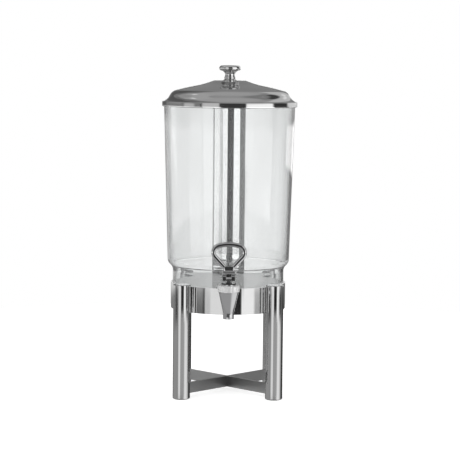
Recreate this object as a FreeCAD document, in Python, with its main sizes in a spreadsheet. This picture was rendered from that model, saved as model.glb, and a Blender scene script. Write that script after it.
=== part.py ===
"""Juice dispenser: a clear vessel with an ice tube, a spun steel lid and a loop-handled tap, on a four-post stand.

Frame: millimetres, +Z up, origin on the vessel's axis at table height. The tap points to -Y.
Every size is a cell of the sheet Sizes; each sub-part is a body whose sketches and features are bound to it.
"""

import FreeCAD, Part

import math
import os

import Sketcher
from FreeCAD import Placement, Rotation, Vector

# Each post's side of the vessel's axis, along X and Y
POST_CORNERS = {
    "post_front_left": (-1, -1),
    "post_front_right": (1, -1),
    "post_back_right": (1, 1),
    "post_back_left": (-1, 1),
}

SIZES = {
    # Stand
    "post_diameter": 32.0,
    "post_wall": 1.5,
    "post_circle_radius": 120.0,
    "post_height": 211.5,
    "post_cap_thickness": 3.0,
    "post_edge_round": 1.2,
    "glide_pad_diameter": 28.0,
    "glide_pad_thickness": 1.0,
    "glide_plug_depth": 14.0,
    "glide_edge_round": 0.5,
    "band_radius": 107.0,
    "band_wall": 2.0,
    "band_height": 48.0,
    "band_drop": 4.5,
    "band_notch_play": 1.0,
    "ledge_rise": 1.0,
    "ledge_thickness": 2.0,
    "ledge_bore_radius": 92.0,
    "cushion_thickness": 1.3,
    "cushion_inner_radius": 94.0,
    "cushion_outer_radius": 103.0,
    "bar_height": 20.0,
    "bar_thickness": 5.0,
    "bar_bottom": 8.0,
    "bar_lap_play": 0.05,
    # Container
    "rest_gap": 0.2,
    "vessel_wall": 4.0,
    "floor_thickness": 5.0,
    "sump_radius": 103.4,
    "sump_height": 65.5,
    "foot_round": 4.0,
    "floor_fillet": 3.0,
    "shoulder_height": 22.0,
    "wall_foot_radius": 113.4,
    "rim_radius": 121.8,
    "vessel_height": 380.2,
    "rim_round": 1.5,
    "hub_radius": 28.2,
    "hub_height": 9.0,
    "hub_chamfer": 1.0,
    "seal_wire": 2.4,
    "seal_depth": 1.8,
    "seal_height": 4.5,
    # Ice tube
    "tube_radius": 30.0,
    "tube_wall": 1.0,
    "tube_length": 371.0,
    "tube_lip_width": 2.5,
    "tube_lip_thickness": 1.2,
    "tube_base_height": 8.0,
    "tube_base_gap": 1.0,
    # Lid
    "lid_rest_gap": 0.3,
    "lid_skirt_play": 1.95,
    "lid_rim_drop": 10.0,
    "lid_rim_round": 1.2,
    "lid_hem_thickness": 1.6,
    "lid_hem_width": 7.25,
    "lid_hem_height": 4.2,
    "lid_sheet": 1.0,
    "lid_sheet_lean": 0.6,
    "lid_rim_top": -1.0,
    "lid_flare_arc": 38.0,
    "lid_flare_foot_inset": 0.55,
    "lid_flare_foot_height": -0.2,
    "lid_flare_width": 13.2,
    "lid_flare_top_height": 11.4,
    "lid_shoulder_arc": 18.2,
    "lid_shoulder_width": 11.1,
    "lid_shoulder_height": 20.5,
    "lid_dome_arc": 400.0,
    "lid_dome_radius": 57.0,
    "lid_dome_height": 30.3,
    "lid_neck_arc": 150.0,
    "crown_radius": 30.5,
    "crown_height": 38.4,
    "dish_radius": 21.0,
    "dish_depth": 1.0,
    # Knob
    "knob_height": 29.5,
    "knob_base_radius": 15.5,
    "knob_base_edge": 0.8,
    "knob_bead_radius": 10.0,
    "knob_bead_height": 5.6,
    "knob_bead_arc": 4.0,
    "knob_neck_radius": 8.75,
    "knob_neck_height": 12.1,
    "knob_flare_arc": 10.0,
    "knob_underside_radius": 18.0,
    "knob_underside_height": 19.7,
    "knob_rim_arc": 5.2,
    "knob_face_radius": 17.0,
    "knob_face_height": 28.5,
    "screw_diameter": 5.0,
    "screw_depth": 12.0,
    "screw_head_radius": 4.6,
    "screw_head_height": 3.0,
    "screw_socket_flats": 3.0,
    "screw_socket_depth": 1.8,
    "screw_play": 0.25,
    "washer_radius": 9.0,
    "washer_thickness": 1.6,
    # Tap
    "tap_reach": 140.0,
    "shank_height": 26.5,
    "shank_radius": 8.0,
    "shank_bore_radius": 4.5,
    "shank_thread_end": 5.0,
    "shank_hole_play": 0.3,
    "washer_pad_radius": 13.0,
    "tap_flange_thickness": 3.0,
    "gasket_thickness": 2.0,
    "inner_gasket_thickness": 2.4,
    "lock_nut_flats": 27.0,
    "lock_nut_thickness": 8.0,
    "thread_play": 0.1,
    "spout_radius": 9.85,
    "spout_drop": 33.4,
    "spout_length": 11.2,
    "spout_bore_radius": 7.5,
    "spout_bore_depth": 7.4,
    "spout_edge": 0.6,
    "seat_bore_radius": 6.0,
    "seat_drop": 14.0,
    "seat_land_radius": 9.3,
    "seat_land_height": 2.0,
    "cone_radius": 18.3,
    "cone_rise": 15.8,
    "collar_radius": 15.6,
    "collar_height": 7.2,
    "chamber_radius": 13.0,
    "nut_radius": 20.0,
    "nut_height": 11.7,
    "nut_edge": 1.2,
    "nut_play": 0.2,
    "nut_lobes": 10,
    "nut_scallop_radius": 4.2,
    "nut_scallop_depth": 1.6,
    "bonnet_rim_radius": 15.4,
    "bonnet_rim_thickness": 2.0,
    "bonnet_flange_radius": 13.0,
    "bonnet_flange_height": 6.5,
    "bonnet_edge": 0.6,
    "neck_radius": 4.0,
    "neck_height": 5.0,
    # Lever head
    "pin_offset": 4.5,
    "pin_height": 5.5,
    "pin_radius": 2.0,
    "pin_play": 0.06,
    "yoke_width": 22.4,
    "yoke_radius": 6.0,
    "yoke_floor": 1.1,
    "yoke_heel_length": 9.5,
    "yoke_heel_height": 3.0,
    "yoke_slot_width": 10.0,
    "ear_gap": 4.8,
    "ear_thickness": 2.3,
    "ear_boss_radius": 3.8,
    "ear_web_rear": 1.0,
    "finger_radius": 1.5,
    "plate_gap": 0.3,
    "plate_width": 23.3,
    "plate_depth": 12.0,
    "plate_height": 7.2,
    "plate_round": 1.0,
    "stem_width": 17.0,
    "stem_height": 7.2,
    "stem_depth": 8.5,
    "loop_width": 64.0,
    "loop_top": 64.0,
    "loop_rod": 8.5,
    "loop_crown_arc": 65.3,
    "loop_corner_arc": 12.5,
    "loop_foot_spread": 5.3,
    "loop_foot_height": 16.0,
    # Valve
    "rod_radius": 2.0,
    "rod_play": 0.08,
    "rod_crossbar_radius": 1.25,
    "rod_crossbar_play": 0.15,
    "rod_tip": 0.6,
    "rod_collar_radius": 5.2,
    "rod_collar_thickness": 1.5,
    "rod_collar_height": 2.0,
    "rod_foot_radius": 6.0,
    "rod_foot_thickness": 1.5,
    "cup_radius": 8.4,
    "cup_thickness": 3.7,
    "cup_edge": 1.0,
    "cup_bite": 2.0,
    "cup_gap": 0.3,
    "spring_radius": 4.0,
    "spring_wire": 1.0,
    "spring_turns": 6,
    "spring_gap": 0.3,
}

doc = FreeCAD.newDocument("juice_dispenser")
sheet = doc.addObject("Spreadsheet::Sheet", "Sizes")
for row, (alias, number) in enumerate(SIZES.items(), start=1):
    sheet.set(f"A{row}", alias.replace("_", " "))
    sheet.set(f"B{row}", str(number))
    sheet.setAlias(f"B{row}", alias)
doc.recompute()


class Size:
    """A length: its number as the sheet stands now, and the formula that keeps it bound to the sheet."""

    def __init__(self, number, formula):
        self.number = number
        self.formula = formula

    @staticmethod
    def of(value):
        """Turns a plain number into a Size."""
        if isinstance(value, Size):
            return value
        text = repr(abs(value))
        return Size(float(value), text if value >= 0 else f"(0 - {text})")

    def __add__(self, other):
        other = Size.of(other)
        return Size(self.number + other.number, f"({self.formula} + {other.formula})")

    def __sub__(self, other):
        other = Size.of(other)
        return Size(self.number - other.number, f"({self.formula} - {other.formula})")

    def __mul__(self, other):
        other = Size.of(other)
        return Size(self.number * other.number, f"({self.formula} * {other.formula})")

    def __truediv__(self, other):
        other = Size.of(other)
        return Size(self.number / other.number, f"({self.formula} / {other.formula})")

    def __neg__(self):
        return Size(-self.number, f"(0 - {self.formula})")

    def __rmul__(self, other):
        return self * other

    def root(self):
        """The square root."""
        return Size(math.sqrt(self.number), f"sqrt({self.formula})")


class Sizes:
    """The sheet's cells as Size values, read by name."""

    def __getattr__(self, alias):
        return Size(float(getattr(sheet, alias)), f"{sheet.Name}.{alias}")


s = Sizes()


class Arc:
    """A round stretch of an outline: it ends at x, y. side is +1 with the centre on the left, -1 on the right."""

    def __init__(self, x, y, radius, side):
        self.end = (x, y)
        self.radius = Size.of(radius)
        self.side = side

    def curve(self, start, end):
        """The arc between two corners, the shorter way round."""
        (x1, y1), (x2, y2) = start, end
        span = math.hypot(x2 - x1, y2 - y1)
        rise = math.sqrt(max(self.radius.number ** 2 - span ** 2 / 4, 0.0)) * self.side / span
        centre = Vector((x1 + x2) / 2 - (y2 - y1) * rise, (y1 + y2) / 2 + (x2 - x1) * rise, 0)
        first = math.atan2(y1 - centre.y, x1 - centre.x)
        last = math.atan2(y2 - centre.y, x2 - centre.x)
        if self.side < 0:
            first, last = last, first
        return Part.ArcOfCircle(Part.Circle(centre, Vector(0, 0, 1), self.radius.number), first, last)


def bulge(x, y, radius):
    """A round stretch that swells out of a body drawn anticlockwise."""
    return Arc(x, y, radius, +1)


def hollow(x, y, radius):
    """A round stretch that is drawn in, on a body drawn anticlockwise."""
    return Arc(x, y, radius, -1)


def new_body(name):
    """A body whose label is its node's name."""
    body = doc.addObject("PartDesign::Body", name)
    body.Label = name
    return body


def origin_plane(body, role):
    """One of the body's own base planes."""
    return next(item for item in body.Origin.OriginFeatures if item.Role == role)


def new_sketch(body, role="XZ_Plane", offset=None):
    """A sketch on a base plane, moved along that plane's normal by offset."""
    sketch = body.newObject("Sketcher::SketchObject", f"{body.Name}_sketch")
    sketch.AttachmentSupport = [(origin_plane(body, role), "")]
    sketch.MapMode = "FlatFace"
    if offset is not None:
        sketch.AttachmentOffset = Placement(Vector(0, 0, offset.number), Rotation())
        sketch.setExpression(".AttachmentOffset.Base.z", offset.formula)
    return sketch


def bind(sketch, kind, *where, size):
    """A dimension of a sketch that follows the sheet."""
    index = sketch.addConstraint(Sketcher.Constraint(kind, *where, size.number))
    sketch.setExpression(f"Constraints[{index}]", size.formula)


def pin_point(sketch, geometry, end, x, y):
    """Holds a point of a sketch at x, y; a point on an axis is held on that axis."""
    for size, kind, axis in ((Size.of(x), "DistanceX", -2), (Size.of(y), "DistanceY", -1)):
        if size.number == 0:
            sketch.addConstraint(Sketcher.Constraint("PointOnObject", geometry, end, axis))
        else:
            bind(sketch, kind, -1, 1, geometry, end, size=size)


def draw_outline(sketch, *corners):
    """A closed outline: each corner is (x, y), or an Arc that ends there."""
    ends = [corner.end if isinstance(corner, Arc) else corner for corner in corners]
    numbers = [(Size.of(x).number, Size.of(y).number) for x, y in ends]
    pieces = []
    for index, corner in enumerate(corners):
        start, end = numbers[index - 1], numbers[index]
        if isinstance(corner, Arc):
            geometry = sketch.addGeometry(corner.curve(start, end))
            bind(sketch, "Radius", geometry, size=corner.radius)
            pieces.append((geometry, 1, 2) if corner.side > 0 else (geometry, 2, 1))
        else:
            line = Part.LineSegment(Vector(*start, 0), Vector(*end, 0))
            pieces.append((sketch.addGeometry(line), 1, 2))
    for index, (geometry, first, last) in enumerate(pieces):
        following, start_end, _ = pieces[(index + 1) % len(pieces)]
        sketch.addConstraint(Sketcher.Constraint("Coincident", geometry, last, following, start_end))
        pin_point(sketch, geometry, last, *ends[index])


def draw_circle(sketch, x, y, radius):
    """A circle at x, y."""
    radius = Size.of(radius)
    centre = Vector(Size.of(x).number, Size.of(y).number, 0)
    geometry = sketch.addGeometry(Part.Circle(centre, Vector(0, 0, 1), radius.number))
    bind(sketch, "Radius", geometry, size=radius)
    pin_point(sketch, geometry, 3, x, y)


def draw_box(sketch, left, bottom, right, top):
    """An upright rectangle."""
    draw_outline(sketch, (left, bottom), (right, bottom), (right, top), (left, top))


def draw_polygon(sketch, x, y, flats, sides=6):
    """A regular polygon of a given distance across its flats, with a flat facing down."""
    reach = flats / (2 * math.cos(math.pi / sides))
    corners = []
    for index in range(sides):
        angle = 2 * math.pi * (index + 0.5) / sides - math.pi / 2
        corners.append((x + reach * math.cos(angle), y + reach * math.sin(angle)))
    draw_outline(sketch, *corners)


def turn(body, *corners, kind="PartDesign::Revolution", axis_at=None):
    """Turns an outline of the XZ plane about Z, or about the upright line at x = axis_at."""
    sketch = new_sketch(body)
    axis = "V_Axis"
    if axis_at is not None:
        top = Vector(axis_at.number, s.post_height.number, 0)
        line = sketch.addGeometry(Part.LineSegment(Vector(axis_at.number, 0, 0), top), True)
        pin_point(sketch, line, 1, axis_at, 0)
        pin_point(sketch, line, 2, axis_at, s.post_height)
        axis = "Axis0"
    draw_outline(sketch, *corners)
    feature = body.newObject(kind, f"{body.Name}_turned")
    feature.Profile = sketch
    feature.ReferenceAxis = (sketch, [axis])
    feature.Angle = 360.0
    return feature


def extrude(body, sketch, length, kind="PartDesign::Pad", both_ways=False, backwards=False):
    """Pads or pockets a sketch by length, to one side or half to each."""
    length = Size.of(length)
    feature = body.newObject(kind, f"{body.Name}_extruded")
    feature.Profile = sketch
    feature.Length = length.number
    feature.setExpression("Length", length.formula)
    feature.SideType = "Symmetric" if both_ways else "One side"
    feature.Reversed = backwards
    return feature


def cut(body, sketch, length, **options):
    """A pocket, which has to take material away."""
    doc.recompute()
    before = body.Shape.Volume
    feature = extrude(body, sketch, length, kind="PartDesign::Pocket", **options)
    doc.recompute()
    if not body.Shape.Volume < before:
        raise ValueError(f"{feature.Name} cuts nothing from {body.Label}")
    return feature


def repeat_round(body, feature, count):
    """Copies a feature round Z; the count is a whole number of the sheet or of the object."""
    count = Size.of(count)
    pattern = body.newObject("PartDesign::PolarPattern", f"{body.Name}_pattern")
    pattern.Originals = [feature]
    pattern.Axis = (origin_plane(body, "Z_Axis"), [""])
    pattern.Angle = 360.0
    pattern.Occurrences = int(count.number)
    pattern.setExpression("Occurrences", count.formula)
    body.Tip = pattern
    return pattern


def place(body, x=0, y=0, z=0):
    """Moves a body to a point that follows the sheet."""
    for axis, value in (("x", x), ("y", y), ("z", z)):
        size = Size.of(value)
        body.setExpression(f".Placement.Base.{axis}", size.formula)


def turn_to_post(body, post):
    """Turns a body about the vessel's axis, from +X to the corner of one post."""
    side_x, side_y = POST_CORNERS[post]
    corner = Rotation(Vector(1, 0, 0), Vector(side_x, side_y, 0))
    body.Placement = Placement(Vector(0, 0, 0), corner)


# Places that several pieces share
post_radius = s.post_diameter / 2
tube_top_of_post = s.post_height - s.post_cap_thickness
band_inner = s.band_radius - s.band_wall
band_top = s.post_height - s.band_drop
band_bottom = band_top - s.band_height
ledge_bottom = band_bottom + s.ledge_rise
ledge_top = ledge_bottom + s.ledge_thickness
cushion_top = ledge_top + s.cushion_thickness
vessel_bottom = cushion_top + s.rest_gap
floor_top = vessel_bottom + s.floor_thickness
vessel_rim = vessel_bottom + s.vessel_height
sump_inner = s.sump_radius - s.vessel_wall
hub_top = floor_top + s.hub_height
seal_centre = floor_top + s.seal_height
tube_bore = s.tube_radius - s.tube_wall
tube_bottom = floor_top + s.rest_gap
lid_seat = vessel_rim + s.lid_rest_gap
dish_floor = lid_seat + s.crown_height - s.dish_depth
shank_axis = vessel_bottom + s.shank_height
cone_top = shank_axis + s.cone_rise
collar_top = cone_top + s.collar_height
seat_level = shank_axis - s.seat_drop
flange_top = collar_top + s.bonnet_rim_thickness + s.bonnet_flange_height
neck_top = flange_top + s.neck_height
pin_level = neck_top + s.pin_height
pin_reach = s.tap_reach + s.pin_offset
sump_washer_face = sump_inner - s.inner_gasket_thickness
shank_length = s.tap_reach - (sump_washer_face - s.lock_nut_thickness - s.shank_thread_end)
cup_bottom = seat_level + s.cup_gap
cup_top = cup_bottom + s.cup_thickness
crossbar_level = pin_level + s.finger_radius + s.rod_crossbar_play + s.rod_crossbar_radius
rod_top = crossbar_level + s.rod_crossbar_radius + s.rod_tip
collar_level = shank_axis + s.rod_collar_height
far = 2 * (s.tap_reach + s.rim_radius)


def make_post(name):
    """A round tube with its side let in where the band seats against it."""
    body = new_body(name)
    centre = s.post_circle_radius
    foot = s.glide_pad_thickness
    turn(
        body,
        (centre + post_radius - s.post_wall, foot),
        (centre + post_radius - s.post_edge_round, foot),
        bulge(centre + post_radius, foot + s.post_edge_round, s.post_edge_round),
        (centre + post_radius, tube_top_of_post),
        (centre + post_radius - s.post_wall, tube_top_of_post),
        axis_at=centre,
    )
    saddle = new_sketch(body, "XY_Plane", band_bottom)
    draw_circle(saddle, 0, 0, s.band_radius)
    cut(body, saddle, s.band_height, backwards=True)
    turn_to_post(body, name)
    return body


def make_post_caps():
    """The flat discs that close the tops of the posts."""
    body = new_body("post_caps")
    body.AllowCompound = True
    centre = s.post_circle_radius
    disc = turn(
        body,
        (centre, tube_top_of_post),
        (centre + post_radius, tube_top_of_post),
        (centre + post_radius, s.post_height - s.post_edge_round),
        bulge(centre + post_radius - s.post_edge_round, s.post_height, s.post_edge_round),
        (centre, s.post_height),
        axis_at=centre,
    )
    repeat_round(body, disc, len(POST_CORNERS))
    turn_to_post(body, "post_back_right")
    return body


def make_foot_glides():
    """The plastic plugs in the lower ends of the posts, each with a pad that meets the table."""
    body = new_body("foot_glides")
    body.AllowCompound = True
    centre = s.post_circle_radius
    pad = centre + s.glide_pad_diameter / 2
    plug = centre + post_radius - s.post_wall
    glide = turn(
        body,
        (centre, 0),
        (pad - s.glide_edge_round, 0),
        bulge(pad, s.glide_edge_round, s.glide_edge_round),
        (pad, s.glide_pad_thickness),
        (plug, s.glide_pad_thickness),
        (plug, s.glide_pad_thickness + s.glide_plug_depth),
        (centre, s.glide_pad_thickness + s.glide_plug_depth),
        axis_at=centre,
    )
    repeat_round(body, glide, len(POST_CORNERS))
    turn_to_post(body, "post_back_right")
    return body


def make_support_ring():
    """The band between the posts, with an open notch in front for the tap's pipe."""
    body = new_body("support_ring")
    turn(
        body,
        (band_inner, band_bottom),
        (s.band_radius, band_bottom),
        (s.band_radius, band_top),
        (band_inner, band_top),
    )
    notch = s.washer_pad_radius + s.band_notch_play
    sketch = new_sketch(body)
    draw_outline(
        sketch,
        (-notch, band_top + notch),
        (-notch, shank_axis),
        bulge(0, shank_axis - notch, notch),
        bulge(notch, shank_axis, notch),
        (notch, band_top + notch),
    )
    cut(body, sketch, far, backwards=True)
    return body


def make_ring(name, inner, outer, bottom, top):
    """A flat ring round the vessel's axis."""
    body = new_body(name)
    turn(body, (inner, bottom), (outer, bottom), (outer, top), (inner, top))
    return body


def make_cross_bar(name, post, notch_from_top):
    """A flat bar from post to post, its ends fitted to the tubes, with a lap notch at its middle."""
    body = new_body(name)
    top = s.bar_bottom + s.bar_height
    middle = s.bar_bottom + s.bar_height / 2
    side = new_sketch(body)
    draw_box(side, -s.post_circle_radius, s.bar_bottom, s.post_circle_radius, top)
    extrude(body, side, s.bar_thickness, both_ways=True)
    ends = new_sketch(body, "XY_Plane")
    draw_circle(ends, s.post_circle_radius, 0, post_radius)
    draw_circle(ends, -s.post_circle_radius, 0, post_radius)
    cut(body, ends, top, backwards=True)
    lap = new_sketch(body)
    half = s.bar_thickness / 2 + s.bar_lap_play
    if notch_from_top:
        draw_box(lap, -half, middle, half, top)
    else:
        draw_box(lap, -half, s.bar_bottom, half, middle)
    cut(body, lap, s.bar_thickness, both_ways=True)
    turn_to_post(body, post)
    return body


def make_container():
    """The clear vessel: narrow sump, swept shoulder, drafted wall, and the hub that the ice tube stands on."""
    body = new_body("container")
    step_out = s.wall_foot_radius - s.sump_radius
    shoulder_low = vessel_bottom + s.sump_height
    shoulder_mid = shoulder_low + s.shoulder_height / 2
    shoulder_top = shoulder_low + s.shoulder_height
    sweep = (step_out * step_out + s.shoulder_height * s.shoulder_height) / (4 * step_out)
    lift = s.vessel_wall * step_out / s.shoulder_height
    mid_radius = s.sump_radius + step_out / 2
    rim_inner = s.rim_radius - s.vessel_wall
    groove = s.hub_radius - s.seal_depth
    groove_half = s.seal_wire / 2
    turn(
        body,
        (0, vessel_bottom),
        (s.sump_radius - s.foot_round, vessel_bottom),
        bulge(s.sump_radius, vessel_bottom + s.foot_round, s.foot_round),
        (s.sump_radius, shoulder_low),
        hollow(mid_radius, shoulder_mid, sweep),
        bulge(s.wall_foot_radius, shoulder_top, sweep),
        (s.rim_radius, vessel_rim - s.rim_round),
        bulge(s.rim_radius - s.rim_round, vessel_rim, s.rim_round),
        (rim_inner + s.rim_round, vessel_rim),
        bulge(rim_inner, vessel_rim - s.rim_round, s.rim_round),
        (s.wall_foot_radius - s.vessel_wall, shoulder_top + lift),
        hollow(mid_radius - s.vessel_wall, shoulder_mid + lift, sweep),
        bulge(sump_inner, shoulder_low + lift, sweep),
        (sump_inner, floor_top + s.floor_fillet),
        hollow(sump_inner - s.floor_fillet, floor_top, s.floor_fillet),
        (s.hub_radius, floor_top),
        (s.hub_radius, seal_centre - groove_half),
        (groove, seal_centre - groove_half),
        (groove, seal_centre + groove_half),
        (s.hub_radius, seal_centre + groove_half),
        (s.hub_radius, hub_top - s.hub_chamfer),
        (s.hub_radius - s.hub_chamfer, hub_top),
        (0, hub_top),
    )
    hole = new_sketch(body)
    draw_circle(hole, 0, shank_axis, s.shank_radius + s.shank_hole_play)
    cut(body, hole, far, backwards=True)
    return body


def make_hub_seal():
    """The soft ring in the hub's groove that grips the ice tube."""
    body = new_body("hub_seal")
    sketch = new_sketch(body)
    draw_circle(sketch, s.hub_radius - s.seal_depth + s.seal_wire / 2, seal_centre, s.seal_wire / 2)
    ring = body.newObject("PartDesign::Revolution", "hub_seal_turned")
    ring.Profile = sketch
    ring.ReferenceAxis = (sketch, ["V_Axis"])
    ring.Angle = 360.0
    return body


def make_ice_tube():
    """The polished tube, open at both ends, with a turned-out lip at the top."""
    body = new_body("ice_tube")
    top = tube_bottom + s.tube_length
    lip = s.tube_radius + s.tube_lip_width
    turn(
        body,
        (tube_bore, tube_bottom),
        (s.tube_radius, tube_bottom),
        (s.tube_radius, top - s.tube_lip_thickness),
        (lip, top - s.tube_lip_thickness),
        (lip, top),
        (tube_bore, top),
    )
    return body


def make_ice_tube_base():
    """The pressed pan that closes the tube above the hub."""
    body = new_body("ice_tube_base")
    bottom = hub_top + s.tube_base_gap
    top = bottom + s.tube_base_height
    pan = tube_bore - s.tube_wall
    turn(
        body,
        (0, bottom),
        (tube_bore, bottom),
        (tube_bore, top),
        (pan, top),
        (pan, bottom + s.tube_wall),
        (0, bottom + s.tube_wall),
    )
    return body


def make_lid_shell():
    """The spun lid: flat crown with a shallow dish, swept dome, flare and hemmed rim that sits on the vessel."""
    body = new_body("lid_shell")
    lip = lid_seat - s.lid_rim_drop
    rim_top = lid_seat + s.lid_rim_top
    hem = s.rim_radius + s.lid_skirt_play
    rim = hem + s.lid_hem_thickness
    hem_inner = hem - s.lid_hem_width
    flare_foot = rim - s.lid_flare_foot_inset
    flare_inner = flare_foot - s.lid_flare_width
    shoulder_inner = flare_inner - s.lid_shoulder_width
    crown = lid_seat + s.crown_height
    bore = s.screw_diameter / 2 + s.screw_play
    sheet_down = s.lid_sheet
    sheet_in = s.lid_sheet * s.lid_sheet_lean
    flare_top = lid_seat + s.lid_flare_top_height
    shoulder = lid_seat + s.lid_shoulder_height
    dome = lid_seat + s.lid_dome_height
    turn(
        body,
        (hem, lip),
        (rim - s.lid_rim_round, lip),
        bulge(rim, lip + s.lid_rim_round, s.lid_rim_round),
        (rim, rim_top),
        bulge(flare_foot, lid_seat + s.lid_flare_foot_height, s.lid_rim_round),
        hollow(flare_inner, flare_top, s.lid_flare_arc),
        bulge(shoulder_inner, shoulder, s.lid_shoulder_arc),
        bulge(s.lid_dome_radius, dome, s.lid_dome_arc),
        hollow(s.crown_radius, crown, s.lid_neck_arc),
        (s.dish_radius + s.dish_depth, crown),
        (s.dish_radius, dish_floor),
        (bore, dish_floor),
        (bore, dish_floor - sheet_down),
        (s.dish_radius + sheet_in, dish_floor - sheet_down),
        (s.dish_radius + s.dish_depth + sheet_in, crown - sheet_down),
        (s.crown_radius - sheet_in, crown - sheet_down),
        bulge(s.lid_dome_radius - sheet_in, dome - sheet_down, s.lid_neck_arc + sheet_down),
        hollow(shoulder_inner - sheet_in, shoulder - sheet_down, s.lid_dome_arc - sheet_down),
        hollow(flare_inner - sheet_in, flare_top - sheet_down, s.lid_shoulder_arc - sheet_down),
        bulge(hem_inner, lid_seat + s.lid_hem_height, s.lid_flare_arc + sheet_down),
        (hem_inner, lid_seat),
        (hem, lid_seat),
    )
    return body


def make_lid_knob():
    """The turned knob: spread foot, bead, waist and a broad flat head, drilled from below."""
    body = new_body("lid_knob")
    base = dish_floor
    hole = s.screw_diameter / 2
    crown_rise = s.knob_height - s.knob_face_height
    face_arc = (s.knob_face_radius * s.knob_face_radius + crown_rise * crown_rise) / (2 * crown_rise)
    turn(
        body,
        (hole, base),
        (s.knob_base_radius, base),
        (s.knob_base_radius, base + s.knob_base_edge),
        hollow(s.knob_bead_radius, base + s.knob_bead_height - s.knob_bead_arc / 2, 2 * s.knob_bead_arc),
        bulge(s.knob_bead_radius, base + s.knob_bead_height + s.knob_bead_arc / 2, s.knob_bead_arc),
        (s.knob_neck_radius, base + s.knob_neck_height),
        hollow(s.knob_underside_radius, base + s.knob_underside_height, s.knob_flare_arc),
        bulge(s.knob_face_radius, base + s.knob_face_height, s.knob_rim_arc),
        bulge(0, base + s.knob_height, face_arc),
        (0, base + s.screw_depth),
        (hole, base + s.screw_depth),
    )
    return body


def make_knob_washer():
    """The plain washer under the lid's crown."""
    body = new_body("knob_washer")
    top = dish_floor - s.lid_sheet
    bore = s.screw_diameter / 2 + s.screw_play
    bottom = top - s.washer_thickness
    turn(body, (bore, bottom), (s.washer_radius, bottom), (s.washer_radius, top), (bore, top))
    return body


def make_knob_screw():
    """The socket screw that holds the knob from inside the lid."""
    body = new_body("knob_screw")
    seat = dish_floor - s.lid_sheet - s.washer_thickness
    head = seat - s.screw_head_height
    shaft = s.screw_diameter / 2
    turn(
        body,
        (0, head),
        (s.screw_head_radius, head),
        (s.screw_head_radius, seat),
        (shaft, seat),
        (shaft, dish_floor + s.screw_depth),
        (0, dish_floor + s.screw_depth),
    )
    socket = new_sketch(body, "XY_Plane", head)
    draw_polygon(socket, Size.of(0), Size.of(0), s.screw_socket_flats)
    cut(body, socket, s.screw_socket_depth, backwards=True)
    return body


def make_tap_body():
    """The tap's cone, spout and threaded pipe, hollow from the vessel to the valve seat and the mouth."""
    body = new_body("tap_body")
    mouth = shank_axis - s.spout_drop
    cone_foot = mouth + s.spout_length
    turn(
        body,
        (0, mouth),
        (s.spout_radius - s.spout_edge, mouth),
        (s.spout_radius, mouth + s.spout_edge),
        (s.spout_radius, cone_foot),
        (s.cone_radius, cone_top),
        (s.collar_radius, cone_top),
        (s.collar_radius, collar_top),
        (0, collar_top),
    )
    pipe = new_sketch(body)
    draw_circle(pipe, 0, shank_axis, s.shank_radius)
    extrude(body, pipe, shank_length, backwards=True)
    flange_face = s.tap_reach - s.sump_radius - s.gasket_thickness
    flange = new_sketch(body, offset=-flange_face)
    draw_circle(flange, 0, shank_axis, s.washer_pad_radius)
    extrude(body, flange, s.tap_flange_thickness)
    throat = mouth + s.spout_bore_depth
    turn(
        body,
        (0, mouth),
        (s.spout_bore_radius, mouth),
        (s.spout_bore_radius, throat),
        (s.seat_bore_radius, throat + s.spout_bore_radius - s.seat_bore_radius),
        (s.seat_bore_radius, seat_level),
        (s.seat_land_radius, seat_level),
        (s.seat_land_radius, seat_level + s.seat_land_height),
        (s.chamber_radius, cone_top),
        (s.chamber_radius, collar_top),
        (0, collar_top),
        kind="PartDesign::Groove",
    )
    bore = new_sketch(body)
    draw_circle(bore, 0, shank_axis, s.shank_bore_radius)
    cut(body, bore, shank_length)
    place(body, y=-s.tap_reach)
    return body


def make_outer_gasket():
    """The soft washer between the tap's flange and the round outside of the sump."""
    body = new_body("tap_gasket_outer")
    face = s.sump_radius + s.gasket_thickness
    sketch = new_sketch(body, offset=face)
    draw_circle(sketch, 0, shank_axis, s.washer_pad_radius)
    draw_circle(sketch, 0, shank_axis, s.shank_radius + s.thread_play)
    extrude(body, sketch, 2 * s.gasket_thickness, backwards=True)
    wall = new_sketch(body, "XY_Plane", shank_axis)
    draw_circle(wall, 0, 0, s.sump_radius)
    cut(body, wall, 4 * s.washer_pad_radius, both_ways=True)
    return body


def make_inner_gasket():
    """The soft washer against the round inside of the sump."""
    body = new_body("tap_gasket_inner")
    sketch = new_sketch(body, offset=sump_washer_face)
    draw_circle(sketch, 0, shank_axis, s.washer_pad_radius)
    draw_circle(sketch, 0, shank_axis, s.shank_radius + s.thread_play)
    extrude(body, sketch, 2 * s.inner_gasket_thickness)
    wall = new_sketch(body, "XY_Plane", shank_axis)
    draw_circle(wall, 0, 0, sump_inner)
    draw_circle(wall, 0, 0, 2 * sump_inner)
    cut(body, wall, 4 * s.washer_pad_radius, both_ways=True)
    return body


def make_lock_nut():
    """The hexagon nut inside the vessel that pulls the tap against the wall."""
    body = new_body("tap_lock_nut")
    sketch = new_sketch(body, offset=sump_washer_face)
    draw_polygon(sketch, Size.of(0), shank_axis, s.lock_nut_flats)
    draw_circle(sketch, 0, shank_axis, s.shank_radius + s.thread_play)
    extrude(body, sketch, s.lock_nut_thickness, backwards=True)
    return body


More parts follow.
